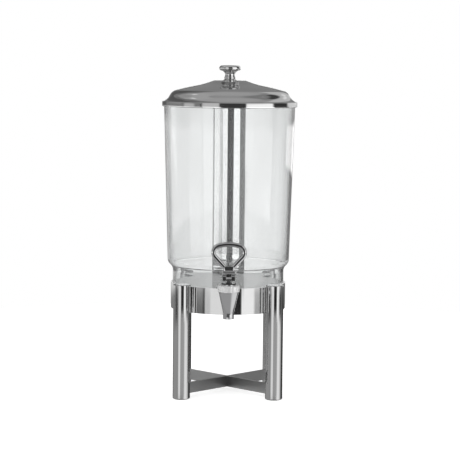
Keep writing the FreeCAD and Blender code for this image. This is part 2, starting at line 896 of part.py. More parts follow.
def make_bonnet_nut():
    """The scalloped collar nut that holds the bonnet on the cone."""
    body = new_body("bonnet_nut")
    bottom = cone_top + s.nut_play
    top = cone_top + s.nut_height
    bore = s.collar_radius + s.nut_play
    eye = s.bonnet_flange_radius + s.nut_play
    roof = collar_top + s.bonnet_rim_thickness + s.nut_play
    turn(
        body,
        (bore, bottom),
        (s.nut_radius - s.nut_edge, bottom),
        (s.nut_radius, bottom + s.nut_edge),
        (s.nut_radius, top - s.nut_edge),
        bulge(s.nut_radius - s.nut_edge, top, s.nut_edge),
        (eye, top),
        (eye, roof),
        (bore, roof),
    )
    scallop = new_sketch(body, "XY_Plane", bottom)
    draw_circle(scallop, s.nut_radius - s.nut_scallop_depth + s.nut_scallop_radius, 0, s.nut_scallop_radius)
    groove = cut(body, scallop, s.nut_height, backwards=True)
    repeat_round(body, groove, s.nut_lobes)
    place(body, y=-s.tap_reach)
    return body


def make_bonnet():
    """The tap's top: flange, neck and the fork that the lever turns in, bored for the rod and the pin."""
    body = new_body("bonnet")
    bore = s.rod_radius + s.rod_play
    flange_foot = collar_top + s.bonnet_rim_thickness
    slot_floor = neck_top + s.yoke_floor
    turn(
        body,
        (bore, collar_top),
        (s.bonnet_rim_radius, collar_top),
        (s.bonnet_rim_radius, flange_foot),
        (s.bonnet_flange_radius, flange_foot),
        (s.bonnet_flange_radius, flange_top - s.bonnet_edge),
        (s.bonnet_flange_radius - s.bonnet_edge, flange_top),
        (s.neck_radius, flange_top),
        (s.neck_radius, slot_floor),
        (bore, slot_floor),
    )
    side = new_sketch(body, "YZ_Plane")
    front = -s.pin_offset - s.yoke_radius
    back = s.yoke_radius - s.pin_offset
    heel = s.yoke_heel_length - s.pin_offset
    draw_outline(
        side,
        (front, neck_top),
        (heel, neck_top),
        (heel, pin_level - s.yoke_heel_height),
        (back, pin_level - s.yoke_heel_height),
        (back, pin_level),
        bulge(-s.pin_offset, pin_level + s.yoke_radius, s.yoke_radius),
        bulge(front, pin_level, s.yoke_radius),
    )
    extrude(body, side, s.yoke_width, both_ways=True)
    slot = new_sketch(body)
    half = s.yoke_slot_width / 2
    draw_box(slot, -half, slot_floor, half, pin_level + 2 * s.yoke_radius)
    cut(body, slot, 4 * s.yoke_heel_length, both_ways=True)
    rod_way = new_sketch(body, "XY_Plane", neck_top)
    draw_circle(rod_way, 0, 0, bore)
    cut(body, rod_way, 4 * s.neck_height, both_ways=True)
    pin_hole = new_sketch(body, "YZ_Plane")
    draw_circle(pin_hole, -s.pin_offset, pin_level, s.pin_radius)
    cut(body, pin_hole, 2 * s.yoke_width, both_ways=True)
    place(body, y=-s.tap_reach)
    return body


def make_lever_pin():
    """The cross pin, tight in the fork and free in the lever."""
    body = new_body("lever_pin")
    sketch = new_sketch(body, "YZ_Plane")
    draw_circle(sketch, 0, 0, s.pin_radius)
    extrude(body, sketch, s.yoke_width, both_ways=True)
    place(body, y=-pin_reach, z=pin_level)
    return body


def draw_half_loop(sketch):
    """Half of the loop's centre line: crown arc, corner arc and a straight leg, each tangent to the next."""
    crown = s.loop_crown_arc
    corner = s.loop_corner_arc
    top = s.loop_top - s.loop_rod / 2
    reach = s.loop_width / 2 - s.loop_rod / 2 - corner
    crown_centre = Vector(0, (top - crown).number, 0)
    corner_rise = math.sqrt((crown - corner).number ** 2 - reach.number ** 2)
    corner_centre = crown_centre + Vector(reach.number, corner_rise, 0)
    foot = Vector(s.loop_foot_spread.number, s.loop_foot_height.number, 0)
    leg = corner_centre - foot
    join = math.atan2(corner_rise, reach.number)
    leave = math.atan2(leg.y, leg.x) - math.asin(corner.number / leg.Length) - math.pi / 2
    tangent_point = corner_centre + Vector(math.cos(leave), math.sin(leave), 0) * corner.number
    up = Vector(0, 0, 1)
    crown_circle = Part.Circle(crown_centre, up, crown.number)
    corner_circle = Part.Circle(corner_centre, up, corner.number)
    first = sketch.addGeometry(Part.ArcOfCircle(crown_circle, join, math.pi / 2))
    second = sketch.addGeometry(Part.ArcOfCircle(corner_circle, leave, join))
    third = sketch.addGeometry(Part.LineSegment(tangent_point, foot))
    bind(sketch, "Radius", first, size=crown)
    bind(sketch, "Radius", second, size=corner)
    pin_point(sketch, first, 2, 0, top)
    sketch.addConstraint(Sketcher.Constraint("PointOnObject", first, 3, -2))
    bind(sketch, "DistanceX", -1, 1, second, 3, size=reach)
    sketch.addConstraint(Sketcher.Constraint("Tangent", first, 1, second, 2))
    sketch.addConstraint(Sketcher.Constraint("Tangent", second, 1, third, 1))
    pin_point(sketch, third, 2, s.loop_foot_spread, s.loop_foot_height)


def make_lever():
    """The loop handle: round rod bent to a rounded triangle, on a stem and a plate with two ears round the pin."""
    body = new_body("lever")
    plate_foot = s.yoke_radius + s.plate_gap
    plate_top = plate_foot + s.plate_height
    half = s.plate_width / 2
    edge = s.plate_round
    plate = new_sketch(body)
    draw_outline(
        plate,
        (-half, plate_foot),
        (half, plate_foot),
        (half, plate_top - edge),
        bulge(half - edge, plate_top, edge),
        (edge - half, plate_top),
        bulge(-half, plate_top - edge, edge),
    )
    extrude(body, plate, s.plate_depth, both_ways=True)
    stem = new_sketch(body)
    draw_box(stem, -s.stem_width / 2, plate_foot + edge, s.stem_width / 2, plate_top + s.stem_height)
    extrude(body, stem, s.stem_depth, both_ways=True)
    ears = new_sketch(body, "YZ_Plane")
    boss = s.ear_boss_radius
    finger = s.finger_radius
    root = (boss * boss - finger * finger).root()
    web = s.ear_web_rear
    draw_outline(
        ears,
        (-boss, plate_foot + edge),
        (-boss, 0),
        bulge(0, -boss, boss),
        bulge(root, -finger, boss),
        (s.pin_offset, -finger),
        bulge(s.pin_offset + finger, 0, finger),
        bulge(s.pin_offset, finger, finger),
        (root, finger),
        bulge(web, (boss * boss - web * web).root(), boss),
        (web, plate_foot + edge),
    )
    extrude(body, ears, s.ear_gap + 2 * s.ear_thickness, both_ways=True)
    between = new_sketch(body)
    draw_box(between, -s.ear_gap / 2, -2 * boss, s.ear_gap / 2, plate_foot)
    cut(body, between, 4 * s.pin_offset + 4 * boss, both_ways=True)
    eye = new_sketch(body, "YZ_Plane")
    draw_circle(eye, 0, 0, s.pin_radius + s.pin_play)
    cut(body, eye, 2 * s.yoke_width, both_ways=True)
    path = new_sketch(body)
    draw_half_loop(path)
    section = new_sketch(body, "YZ_Plane")
    draw_circle(section, 0, s.loop_top - s.loop_rod / 2, s.loop_rod / 2)
    rod = body.newObject("PartDesign::AdditivePipe", "lever_loop")
    rod.Profile = section
    rod.Spine = path
    doc.recompute()
    mirror = body.newObject("PartDesign::Mirrored", "lever_loop_other_half")
    mirror.Originals = [rod]
    mirror.MirrorPlane = (origin_plane(body, "YZ_Plane"), [""])
    body.Tip = mirror
    place(body, y=-pin_reach, z=pin_level)
    return body


def make_valve_rod():
    """The rod: a foot for the seal, a collar under the spring and a crossbar that the lever's fingers lift."""
    body = new_body("valve_rod")
    stud = cup_top - s.cup_bite
    turn(
        body,
        (0, stud),
        (s.rod_radius, stud),
        (s.rod_radius, cup_top),
        (s.rod_foot_radius, cup_top),
        (s.rod_foot_radius, cup_top + s.rod_foot_thickness),
        (s.rod_radius, cup_top + s.rod_foot_thickness),
        (s.rod_radius, collar_level - s.rod_collar_thickness),
        (s.rod_collar_radius, collar_level - s.rod_collar_thickness),
        (s.rod_collar_radius, collar_level),
        (s.rod_radius, collar_level),
        (s.rod_radius, rod_top),
        (0, rod_top),
    )
    crossbar = new_sketch(body, "YZ_Plane")
    draw_circle(crossbar, 0, crossbar_level, s.rod_crossbar_radius)
    extrude(body, crossbar, s.ear_gap + 2 * s.ear_thickness, both_ways=True)
    place(body, y=-s.tap_reach)
    return body


def make_seat_cup():
    """The rubber seal that closes the seat, pushed on the rod's stud."""
    body = new_body("seat_cup")
    stud = cup_top - s.cup_bite
    turn(
        body,
        (0, cup_bottom),
        (s.cup_radius - s.cup_edge, cup_bottom),
        bulge(s.cup_radius, cup_bottom + s.cup_edge, s.cup_edge),
        (s.cup_radius, cup_top - s.cup_edge),
        (s.cup_radius - s.cup_edge, cup_top),
        (s.rod_radius, cup_top),
        (s.rod_radius, stud),
        (0, stud),
    )
    place(body, y=-s.tap_reach)
    return body


def helix_point(radius, pitch, turns):
    """A point of a coil about Z, and the coil's direction there."""
    angle = 2 * math.pi * turns
    point = Vector(radius * math.cos(angle), radius * math.sin(angle), pitch * turns)
    heading = Vector(-radius * math.sin(angle), radius * math.cos(angle), pitch / (2 * math.pi))
    return point, heading.normalize()


def tangent_arc(start, heading, end):
    """The arc that leaves start along heading and reaches end."""
    chord = end - start
    across = (chord - heading * chord.dot(heading)).normalize()
    radius = chord.dot(chord) / (2 * chord.dot(across))
    centre = start + across * radius
    middle = centre + ((start - centre) + (end - centre)).normalize() * radius
    return Part.Arc(start, middle, end).toShape()


def biarc(start, heading, end, final):
    """Two arcs that join start to end and keep the direction at both."""
    chord = end - start
    both = heading + final
    square = chord.dot(chord)
    along = chord.dot(both)
    spread = 2 * (1 - heading.dot(final))
    reach = (math.sqrt(along ** 2 + spread * square) - along) / spread
    joint = (start + end + (heading - final) * reach) * 0.5
    return tangent_arc(start, heading, joint), tangent_arc(end, -final, joint)


def make_return_spring():
    """The coil that presses the rod down: quarter turns of two arcs each, swept as one wire."""
    quarters = 4
    turns = int(sheet.spring_turns)
    radius = s.spring_radius.number
    wire = s.spring_wire.number / 2
    bottom = (collar_level + s.spring_gap).number + wire
    top = (collar_top - s.spring_gap).number - wire
    pitch = (top - bottom) / turns
    edges = []
    for step in range(turns * quarters):
        start, heading = helix_point(radius, pitch, step / quarters)
        end, final = helix_point(radius, pitch, (step + 1) / quarters)
        edges.extend(biarc(start, heading, end, final))
    path = Part.Wire(edges)
    start, heading = helix_point(radius, pitch, 0)
    section = Part.Wire([Part.Circle(start, heading, wire).toShape()])
    coil = path.makePipeShell([section], True, False)
    print(f"spring: least gap between turns {pitch - 2 * wire:.2f} mm")
    spring = doc.addObject("Part::Feature", "return_spring")
    spring.Label = "return_spring"
    spring.Shape = coil
    spring.Placement = Placement(Vector(0, -s.tap_reach.number, bottom), Rotation())
    return spring


def build():
    """Makes every sub-part."""
    parts = [make_post(name) for name in POST_CORNERS]
    parts.append(make_post_caps())
    parts.append(make_foot_glides())
    parts.append(make_support_ring())
    parts.append(make_ring("seat_ring", s.ledge_bore_radius, band_inner, ledge_bottom, ledge_top))
    parts.append(make_ring("cushion_ring", s.cushion_inner_radius, s.cushion_outer_radius, ledge_top, cushion_top))
    parts.append(make_cross_bar("cross_bar_lower", "post_back_right", True))
    parts.append(make_cross_bar("cross_bar_upper", "post_back_left", False))
    parts.append(make_container())
    parts.append(make_hub_seal())
    parts.append(make_ice_tube())
    parts.append(make_ice_tube_base())
    parts.append(make_lid_shell())
    parts.append(make_lid_knob())
    parts.append(make_knob_washer())
    parts.append(make_knob_screw())
    parts.append(make_tap_body())
    parts.append(make_outer_gasket())
    parts.append(make_inner_gasket())
    parts.append(make_lock_nut())
    parts.append(make_bonnet_nut())
    parts.append(make_bonnet())
    parts.append(make_lever_pin())
    parts.append(make_lever())
    parts.append(make_valve_rod())
    parts.append(make_seat_cup())
    parts.append(make_return_spring())
    return parts


def check(parts):
    """Stops if anything in the document failed, or a sub-part has no sound solid."""
    for item in doc.Objects:
        if "Invalid" in item.State or "Error" in item.State:
            raise ValueError(f"{item.Label} failed: {item.State}")
    for part in parts:
        if part.Shape.isNull() or not part.Shape.isValid() or not part.Shape.Solids:
            raise ValueError(f"{part.Label} has no sound solid")


parts = build()
doc.recompute()
check(parts)
os.makedirs("parts", exist_ok=True)
for part in parts:
    part.Shape.exportStep(f"parts/{part.Label}.step")
print(f"{len(parts)} sub-parts, {sum(len(part.Shape.Solids) for part in parts)} solids")
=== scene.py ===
"""Juice dispenser, dressed: clear vessel, spun lid, ice tube and loop-handled tap on a four-post steel stand.

Frame: metres, +Z up, origin on the vessel's axis at table height. The tap points to -Y.
"""

from __future__ import annotations

import logging
import math
from collections.abc import Sequence
from dataclasses import dataclass
from enum import Enum

import bpy
from mathutils import Matrix, Vector


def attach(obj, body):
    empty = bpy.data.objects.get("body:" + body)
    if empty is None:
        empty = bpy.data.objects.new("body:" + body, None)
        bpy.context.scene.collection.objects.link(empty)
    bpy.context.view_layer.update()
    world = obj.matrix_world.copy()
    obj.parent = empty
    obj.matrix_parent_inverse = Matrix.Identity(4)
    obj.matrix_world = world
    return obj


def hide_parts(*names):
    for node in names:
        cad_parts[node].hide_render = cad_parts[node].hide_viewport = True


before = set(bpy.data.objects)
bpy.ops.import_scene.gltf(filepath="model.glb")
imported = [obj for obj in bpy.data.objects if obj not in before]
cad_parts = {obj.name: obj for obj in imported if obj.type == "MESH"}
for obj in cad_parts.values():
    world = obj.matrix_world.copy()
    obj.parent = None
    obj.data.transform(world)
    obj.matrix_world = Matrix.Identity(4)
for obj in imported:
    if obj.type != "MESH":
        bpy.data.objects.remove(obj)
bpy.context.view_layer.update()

LOG = logging.getLogger("juice_dispenser")
MM = 0.001
WELD = 0.002 * MM
SMOOTH_ANGLE = math.radians(32.0)
BEND_STEP = math.radians(5.0)
BEND_STEPS_LEAST = 3
ORIGIN = Vector((0.0, 0.0, 0.0)).freeze()
ROD_STEPS = 24
# How far a cutter, or a piece that is joined on, reaches past the face that it meets, in millimetres
JUST_PAST = 1.0
WELL_PAST = 20.0
# Nearly all values of a noise texture lie between these
NOISE_LOW = 0.3
NOISE_HIGH = 0.7
# A ray's depth above this means that it has bounced
BOUNCED = 0.5
WHITE_LIGHT = (1.0, 1.0, 1.0, 1.0)


class Slot(Enum):
    """The record's material slots."""

    POLISHED_STEEL = "polished_steel"
    LID_STEEL = "lid_steel"
    CHROME = "chrome_plate"
    CLEAR = "clear_vessel"
    BLACK = "black_plastic"


class Body(Enum):
    """The bodies that new pieces ride on."""

    STAND = "stand"
    CONTAINER = "container"
    ICE_TUBE = "ice_tube"
    LID = "lid"
    LEVER = "tap_lever"


class Axis(Enum):
    """The axis that an outline is turned about."""

    UPRIGHT = (0.0, 0.0, 1.0)
    DEPTH = (0.0, 1.0, 0.0)
    ACROSS = (1.0, 0.0, 0.0)


class Facets(Enum):
    """How many steps a round piece is turned in, named after a piece of that size."""

    BAND = 320
    SHELL = 240
    TUBE = 160
    NUT = 120
    POST = 96
    FLANGE = 72
    PIPE = 64
    HOLE = 48
    BORE = 32
    SCALLOP = 28


def linear(colour: str) -> tuple[float, float, float, float]:
    """Turns an sRGB hex colour into linear values.

    Args:
        colour: six hex digits after a hash.

    Returns:
        Linear red, green, blue and an alpha of 1.
    """
    parts = [int(colour[i : i + 2], 16) / 255 for i in (1, 3, 5)]
    red, green, blue = (p / 12.92 if p <= 0.04045 else ((p + 0.055) / 1.055) ** 2.4 for p in parts)
    return red, green, blue, 1.0


def add_node(
    tree: bpy.types.NodeTree, kind: str, inputs: dict | None = None, **settings: str
) -> bpy.types.Node:
    """Adds a node with its settings and links.

    Args:
        tree: the tree that takes the node.
        kind: Blender's name of the node.
        inputs: what each input holds, by name or number: a value, or the output that feeds it.
        settings: the node's own properties.

    Returns:
        The new node.
    """
    node = tree.nodes.new(kind)
    for name, value in settings.items():
        setattr(node, name, value)
    for name, value in (inputs or {}).items():
        if isinstance(value, bpy.types.NodeSocket):
            tree.links.new(value, node.inputs[name])
        else:
            node.inputs[name].default_value = value
    return node


def new_material(name: str) -> tuple[bpy.types.Material, bpy.types.NodeTree, bpy.types.Node]:
    """Starts a material with nodes.

    Args:
        name: the material's name.

    Returns:
        The material, its tree and its shader.
    """
    material = bpy.data.materials.new(name)
    material.use_nodes = True
    tree = material.node_tree
    return material, tree, tree.nodes["Principled BSDF"]


@dataclass(frozen=True)
class Metal:
    """Bare or plated metal, buffed smooth: a mirror whose haze comes from how it was worked."""

    name: str
    colour: str
    roughness: float
    haze: float = 0.03
    haze_mm: float = 18.0
    bare: float = 1.0

    def haze_nodes(self, tree: bpy.types.NodeTree, place: bpy.types.NodeSocket) -> bpy.types.NodeSocket:
        """Roughness that varies in soft patches, as a buffing wheel and later wiping leave it.

        Args:
            tree: the material's tree.
            place: the piece's own coordinates.

        Returns:
            The roughness.
        """
        pattern = {"Vector": place, "Scale": 1 / (self.haze_mm * MM), "Detail": 3.0, "Roughness": 0.6}
        levels = {
            "Value": add_node(tree, "ShaderNodeTexNoise", pattern).outputs["Fac"],
            "From Min": NOISE_LOW,
            "From Max": NOISE_HIGH,
            "To Min": self.roughness,
            "To Max": self.roughness + self.haze,
        }
        return add_node(tree, "ShaderNodeMapRange", levels).outputs["Result"]

    def bump_nodes(
        self, tree: bpy.types.NodeTree, place: bpy.types.NodeSocket
    ) -> bpy.types.NodeSocket | None:
        """A buffed surface has no relief; metal that is worked otherwise has its own."""
        return None

    def material(self) -> bpy.types.Material:
        """Builds the material.

        Returns:
            The material.
        """
        material, tree, shader = new_material(self.name)
        shader.inputs["Base Color"].default_value = linear(self.colour)
        shader.inputs["Metallic"].default_value = self.bare
        place = add_node(tree, "ShaderNodeTexCoord").outputs["Object"]
        tree.links.new(self.haze_nodes(tree, place), shader.inputs["Roughness"])
        normal = self.bump_nodes(tree, place)
        if normal is not None:
            tree.links.new(normal, shader.inputs["Normal"])
        return material


@dataclass(frozen=True)
class SpunMetal(Metal):
    """Sheet spun on a lathe: fine rings about the axis under the polish."""

    ring_mm: float = 2.4
    ring_depth: float = 0.004

    def bump_nodes(self, tree: bpy.types.NodeTree, place: bpy.types.NodeSocket) -> bpy.types.NodeSocket:
        """Rings that change only with the distance from the axis and the height.

        Args:
            tree: the material's tree.
            place: the piece's own coordinates.

        Returns:
            The bumped normal.
        """
        parts = add_node(tree, "ShaderNodeSeparateXYZ", {"Vector": place}).outputs
        level = add_node(tree, "ShaderNodeCombineXYZ", {"X": parts["X"], "Y": parts["Y"]}).outputs["Vector"]
        reach = add_node(tree, "ShaderNodeVectorMath", {0: level}, operation="LENGTH").outputs["Value"]
        along = add_node(tree, "ShaderNodeMath", {0: reach, 1: parts["Z"]}, operation="ADD").outputs[0]
        pattern = {"W": along, "Scale": 1 / (self.ring_mm * MM), "Detail": 2.0}
        rings = add_node(tree, "ShaderNodeTexNoise", pattern, noise_dimensions="1D").outputs["Fac"]
        heights = {"Height": rings, "Strength": 1.0, "Distance": self.ring_depth * MM}
        return add_node(tree, "ShaderNodeBump", heights).outputs["Normal"]


@dataclass(frozen=True)
class BrushedMetal(Metal):
    """Bar stock brushed along its length."""

    grain_mm: float = 1.2
    grain_length: float = 40.0
    grain_depth: float = 0.02
    heading_deg: float = 0.0

    def bump_nodes(self, tree: bpy.types.NodeTree, place: bpy.types.NodeSocket) -> bpy.types.NodeSocket:
        """Scratches drawn out along the bar.

        Args:
            tree: the material's tree.
            place: the piece's own coordinates.

        Returns:
            The bumped normal.
        """
        turned = {"Vector": place, "Rotation": (0.0, 0.0, math.radians(self.heading_deg))}
        along = add_node(tree, "ShaderNodeMapping", turned, vector_type="TEXTURE").outputs["Vector"]
        stretch = {"Vector": along, "Scale": (1 / self.grain_length, 1.0, 1.0)}
        drawn = add_node(tree, "ShaderNodeMapping", stretch).outputs["Vector"]
        pattern = {"Vector": drawn, "Scale": 1 / (self.grain_mm * MM), "Detail": 3.0}
        grain = add_node(tree, "ShaderNodeTexNoise", pattern).outputs["Fac"]
        heights = {"Height": grain, "Strength": 1.0, "Distance": self.grain_depth * MM}
        return add_node(tree, "ShaderNodeBump", heights).outputs["Normal"]


@dataclass(frozen=True)
class CastMetal(Metal):
    """Plated casting: the plate follows the lumps and pits of the mould."""

    lump_mm: float = 3.0
    lump_height: float = 0.3

    def bump_nodes(self, tree: bpy.types.NodeTree, place: bpy.types.NodeSocket) -> bpy.types.NodeSocket:
        """Lumps a few millimetres across.

        Args:
            tree: the material's tree.
            place: the piece's own coordinates.

        Returns:
            The bumped normal.
        """
        pattern = {"Vector": place, "Scale": 1 / (self.lump_mm * MM), "Detail": 2.0}
        lumps = add_node(tree, "ShaderNodeTexNoise", pattern).outputs["Fac"]
        heights = {"Height": lumps, "Strength": 1.0, "Distance": self.lump_height * MM}
        return add_node(tree, "ShaderNodeBump", heights).outputs["Normal"]


@dataclass(frozen=True)
class Moulded:
    """Moulded rubber or plastic: one colour through, with a fine eroded grain."""

    name: str
    colour: str
    roughness: float
    grain_mm: float
    grain_height: float
    mottle: float = 0.06

    def material(self) -> bpy.types.Material:
        """Builds the material.

        Returns:
            The material.
        """
        material, tree, shader = new_material(self.name)
        shader.inputs["Roughness"].default_value = self.roughness
        place = add_node(tree, "ShaderNodeTexCoord").outputs["Object"]
        pattern = {"Vector": place, "Scale": 1 / (self.grain_mm * MM), "Detail": 2.0}
        grain = add_node(tree, "ShaderNodeTexNoise", pattern).outputs["Fac"]
        base = linear(self.colour)
        worn = tuple(channel * (1 - self.mottle) for channel in base[:3]) + (1.0,)
        mixed = add_node(tree, "ShaderNodeMix", {"Factor": grain, "A": base, "B": worn}, data_type="RGBA")
        heights = {"Height": grain, "Strength": 1.0, "Distance": self.grain_height * MM}
        normal = add_node(tree, "ShaderNodeBump", heights).outputs["Normal"]
        tree.links.new(mixed.outputs[2], shader.inputs["Base Color"])
        tree.links.new(normal, shader.inputs["Normal"])
        return material


@dataclass(frozen=True)
class ClearMoulding:
    """Clear moulded plastic: a polished mould leaves it glossy, with faint flow waves.

    Seen edge-on its colour is painted greyer: painted shade for the light that a long way through the wall
    would lose.
    """

    name: str
    colour: str
    painted_edge_shade: str
    shade_colour: str
    roughness: float
    ior: float
    wave_mm: float
    wave_height: float
    clarity: float = 0.96
    slant_from: float = 0.58
    slant_to: float = 0.95

    def tint(self, tree: bpy.types.NodeTree) -> bpy.types.NodeSocket:
        """The colour that light takes on, with painted shade that greys it where the wall is seen at a slant.

        Args:
            tree: the material's tree.

        Returns:
            The colour.
        """
        facing = add_node(tree, "ShaderNodeLayerWeight", {"Blend": 0.5}).outputs["Facing"]
        slope = {"Value": facing, "From Min": self.slant_from, "From Max": self.slant_to}
        slant = add_node(tree, "ShaderNodeMapRange", slope).outputs["Result"]
        # painted shade: the colour turns greyer where the wall is seen at a slant
        colours = {"Factor": slant, "A": linear(self.colour), "B": linear(self.painted_edge_shade)}
        return add_node(tree, "ShaderNodeMix", colours, data_type="RGBA").outputs[2]

    def material(self) -> bpy.types.Material:
        """Builds the material; lamps shine through it, so that what stands inside is lit.

        Returns:
            The material.
        """
        material, tree, shader = new_material(self.name)
        shader.inputs["Transmission Weight"].default_value = self.clarity
        shader.inputs["Roughness"].default_value = self.roughness
        shader.inputs["IOR"].default_value = self.ior
        place = add_node(tree, "ShaderNodeTexCoord").outputs["Object"]
        pattern = {"Vector": place, "Scale": 1 / (self.wave_mm * MM), "Detail": 1.0}
        waves = add_node(tree, "ShaderNodeTexNoise", pattern).outputs["Fac"]
        heights = {"Height": waves, "Strength": 1.0, "Distance": self.wave_height * MM}
        tree.links.new(add_node(tree, "ShaderNodeBump", heights).outputs["Normal"], shader.inputs["Normal"])
        tree.links.new(self.tint(tree), shader.inputs["Base Color"])
        path = add_node(tree, "ShaderNodeLightPath").outputs
        rays = {0: path["Is Shadow Ray"], 1: path["Is Diffuse Ray"]}
        lit = add_node(tree, "ShaderNodeMath", rays, operation="MAXIMUM").outputs[0]
        clear = add_node(tree, "ShaderNodeBsdfTransparent", {"Color": linear(self.shade_colour)})
        mixed = add_node(tree, "ShaderNodeMixShader", {0: lit, 1: shader.outputs[0], 2: clear.outputs[0]})
        tree.links.new(mixed.outputs[0], tree.nodes["Material Output"].inputs["Surface"])
        return material


# Stainless tube and strip, buffed to a mirror with compound: only a faint haze stays in it
POLISHED = Metal("mirror_polished_stainless", "#D2D2D2", 0.03, haze=0.025, haze_mm=25.0)
# Stainless flat bar, brushed: greyer and softer, with scratches along its length; the lower bar takes a
# darker copy, painted shade, and the upper bar a lighter copy, painted light
BRUSHED_PAINTED_SHADE = BrushedMetal(
    "brushed_stainless_bar_painted_shade", "#8C8C8C", 0.28, haze=0.12, haze_mm=9.0, heading_deg=45.0
)
BRUSHED_PAINTED_LIGHT = BrushedMetal(
    "brushed_stainless_bar_painted_light", "#A2A2A2", 0.28, haze=0.12, haze_mm=9.0, heading_deg=135.0
)
# Stainless pins, rods and screws, tumbled: satin, without a clear mirror image
SATIN = Metal("satin_stainless_fasteners", "#B8B8B8", 0.22, haze=0.1, haze_mm=6.0)
# Inside of the band: a pale, non-metallic matt colour, painted light that stands in for the bright
# reflections of its polished steel
PAINTED_LIGHT_INSIDE = Metal("pale_inside_painted_light", "#FAFAFA", 0.35, haze=0.1, haze_mm=9.0, bare=0.0)
# Ledge under the vessel: blasted steel, pale and matt, with some of the steel's shine left
LEDGE = Metal("blasted_stainless_ledge", "#DADADA", 0.38, haze=0.1, haze_mm=9.0, bare=0.7)
# Lid: stainless sheet spun on a lathe, then buffed, so that faint rings stay about the knob
SPUN = SpunMetal("spun_stainless_lid", "#CFCFCF", 0.07, haze=0.05, haze_mm=30.0)
# Knob: turned from bar and polished, a sharper mirror than the lid, with finer rings
TURNED = SpunMetal(
    "turned_stainless_knob", "#DADADA", 0.02, haze=0.02, haze_mm=8.0, ring_mm=1.2, ring_depth=0.001
)
# Tap: cast brass under bright chrome plate, a clear mirror with rounded edges
CHROME = Metal("bright_chrome_plate", "#D2D2D3", 0.03, haze=0.03, haze_mm=9.0)
# Nut: shot-blasted casting under thin nickel, so it stays pale and mottled instead of mirroring
CAST_NICKEL = CastMetal(
    "blasted_nickel_casting", "#E8E8E8", 0.34, haze=0.15, haze_mm=3.0, bare=0.65, lump_height=0.9
)
# Vessel: polycarbonate from a polished mould, water clear, with painted grey shade where its wall is seen
# edge-on
CLEAR = ClearMoulding("clear_polycarbonate", "#F2F3F3", "#C8C8C8", "#FBFBFB", 0.0, 1.49, 60.0, 0.05)
# Washers and rings under the vessel: moulded silicone, matt off-white
SEAL = Moulded("silicone_seal", "#C9C8C4", 0.5, 0.8, 0.02)
# Plugs in the posts' feet: moulded polyethylene, black and scuffed grey by the table
BLACK = Moulded("black_polyethylene_glide", "#161616", 0.45, 0.7, 0.03, mottle=0.3)
# Ring in the tap's flange: black with a dull shine, a dark band of painted shade under the flange's top
PAINTED_SHADE_RING = Moulded("flange_painted_shade_ring", "#2B2B2B", 0.45, 0.6, 0.02)
# Lock nut inside the vessel: moulded nylon, creamy white
WHITE = Moulded("white_nylon_nut", "#E2E1DC", 0.4, 0.9, 0.02)


def deselect() -> None:
    """Leaves nothing selected, so that an operator acts on the new piece alone."""
    if bpy.context.object is not None and bpy.context.object.mode != "OBJECT":
        bpy.ops.object.mode_set(mode="OBJECT")
    bpy.ops.object.select_all(action="DESELECT")


def pick(piece: bpy.types.Object) -> None:
    """Selects one piece alone and makes it active.

    Args:
        piece: the piece.
    """
    deselect()
    piece.select_set(True)
    bpy.context.view_layer.objects.active = piece


def begin(piece: bpy.types.Object, action: str = "SELECT") -> None:
    """Opens a piece in edit mode with all of it selected, or none.

    Args:
        piece: the piece.
        action: SELECT or DESELECT.
    """
    pick(piece)
    bpy.ops.object.mode_set(mode="EDIT")
    bpy.ops.mesh.select_all(action=action)


def close() -> None:
    """Welds doubles, points the faces outwards and leaves edit mode with smooth shading."""
    bpy.ops.mesh.select_all(action="SELECT")
    bpy.ops.mesh.remove_doubles(threshold=WELD)
    bpy.ops.mesh.delete_loose(use_verts=True, use_edges=True, use_faces=False)
    bpy.ops.mesh.select_all(action="SELECT")
    bpy.ops.mesh.normals_make_consistent(inside=False)
    bpy.ops.object.mode_set(mode="OBJECT")
    bpy.ops.object.shade_smooth_by_angle(angle=SMOOTH_ANGLE)


def copy_of(piece: bpy.types.Object, name: str) -> bpy.types.Object:
    """Copies a piece, with its own mesh.

    Args:
        piece: the piece that was modelled.
        name: the copy's name.

    Returns:
        The copy, in the same place.
    """
    pick(piece)
    bpy.ops.object.duplicate()
    twin = bpy.context.object
    twin.name = twin.data.name = name
    return twin


@dataclass(frozen=True)
class Bend:
    """A round stretch of an outline that ends at reach, level; swell is True where it bulges outwards."""

    reach: float
    level: float
    radius: float
    swell: bool = True

    def points(self, start: tuple[float, float]) -> list[tuple[float, float]]:
        """The stretch as points.

        Args:
            start: where the stretch begins.

        Returns:
            The points after start, the last one at reach, level.
        """
        (x1, y1), (x2, y2) = start, (self.reach, self.level)
        span = math.hypot(x2 - x1, y2 - y1)
        side = 1 if self.swell else -1
        rise = side * math.sqrt(max(self.radius**2 - span**2 / 4, 0.0)) / span
        centre = Vector(((x1 + x2) / 2 - (y2 - y1) * rise, (y1 + y2) / 2 + (x2 - x1) * rise))
        first = math.atan2(y1 - centre.y, x1 - centre.x)
        sweep = side * 2 * math.asin(min(span / (2 * self.radius), 1.0))
        count = max(BEND_STEPS_LEAST, math.ceil(abs(sweep) / BEND_STEP))
        turned = [first + sweep * step / count for step in range(1, count)]
        inner = [(centre.x + self.radius * math.cos(a), centre.y + self.radius * math.sin(a)) for a in turned]
        return inner + [(x2, y2)]


Corner = tuple[float, float] | Bend


def rod_outline(radius: float, low: float, high: float) -> list[Corner]:
    """The outline of a plain round rod, or of a cutter for its hole, in millimetres."""
    return [(0, low), (radius, low), (radius, high), (0, high)]


def trace(outline: Sequence[Corner]) -> list[tuple[float, float]]:
    """Turns an outline's corners and bends into points.

    Args:
        outline: corners as (distance from the axis, level) and bends, in millimetres, anticlockwise.

    Returns:
        The points in metres.
    """
    points: list[tuple[float, float]] = []
    for corner in outline:
        if isinstance(corner, Bend):
            points.extend(corner.points(points[-1]))
        else:
            points.append(corner)
    return [(x * MM, y * MM) for x, y in points]


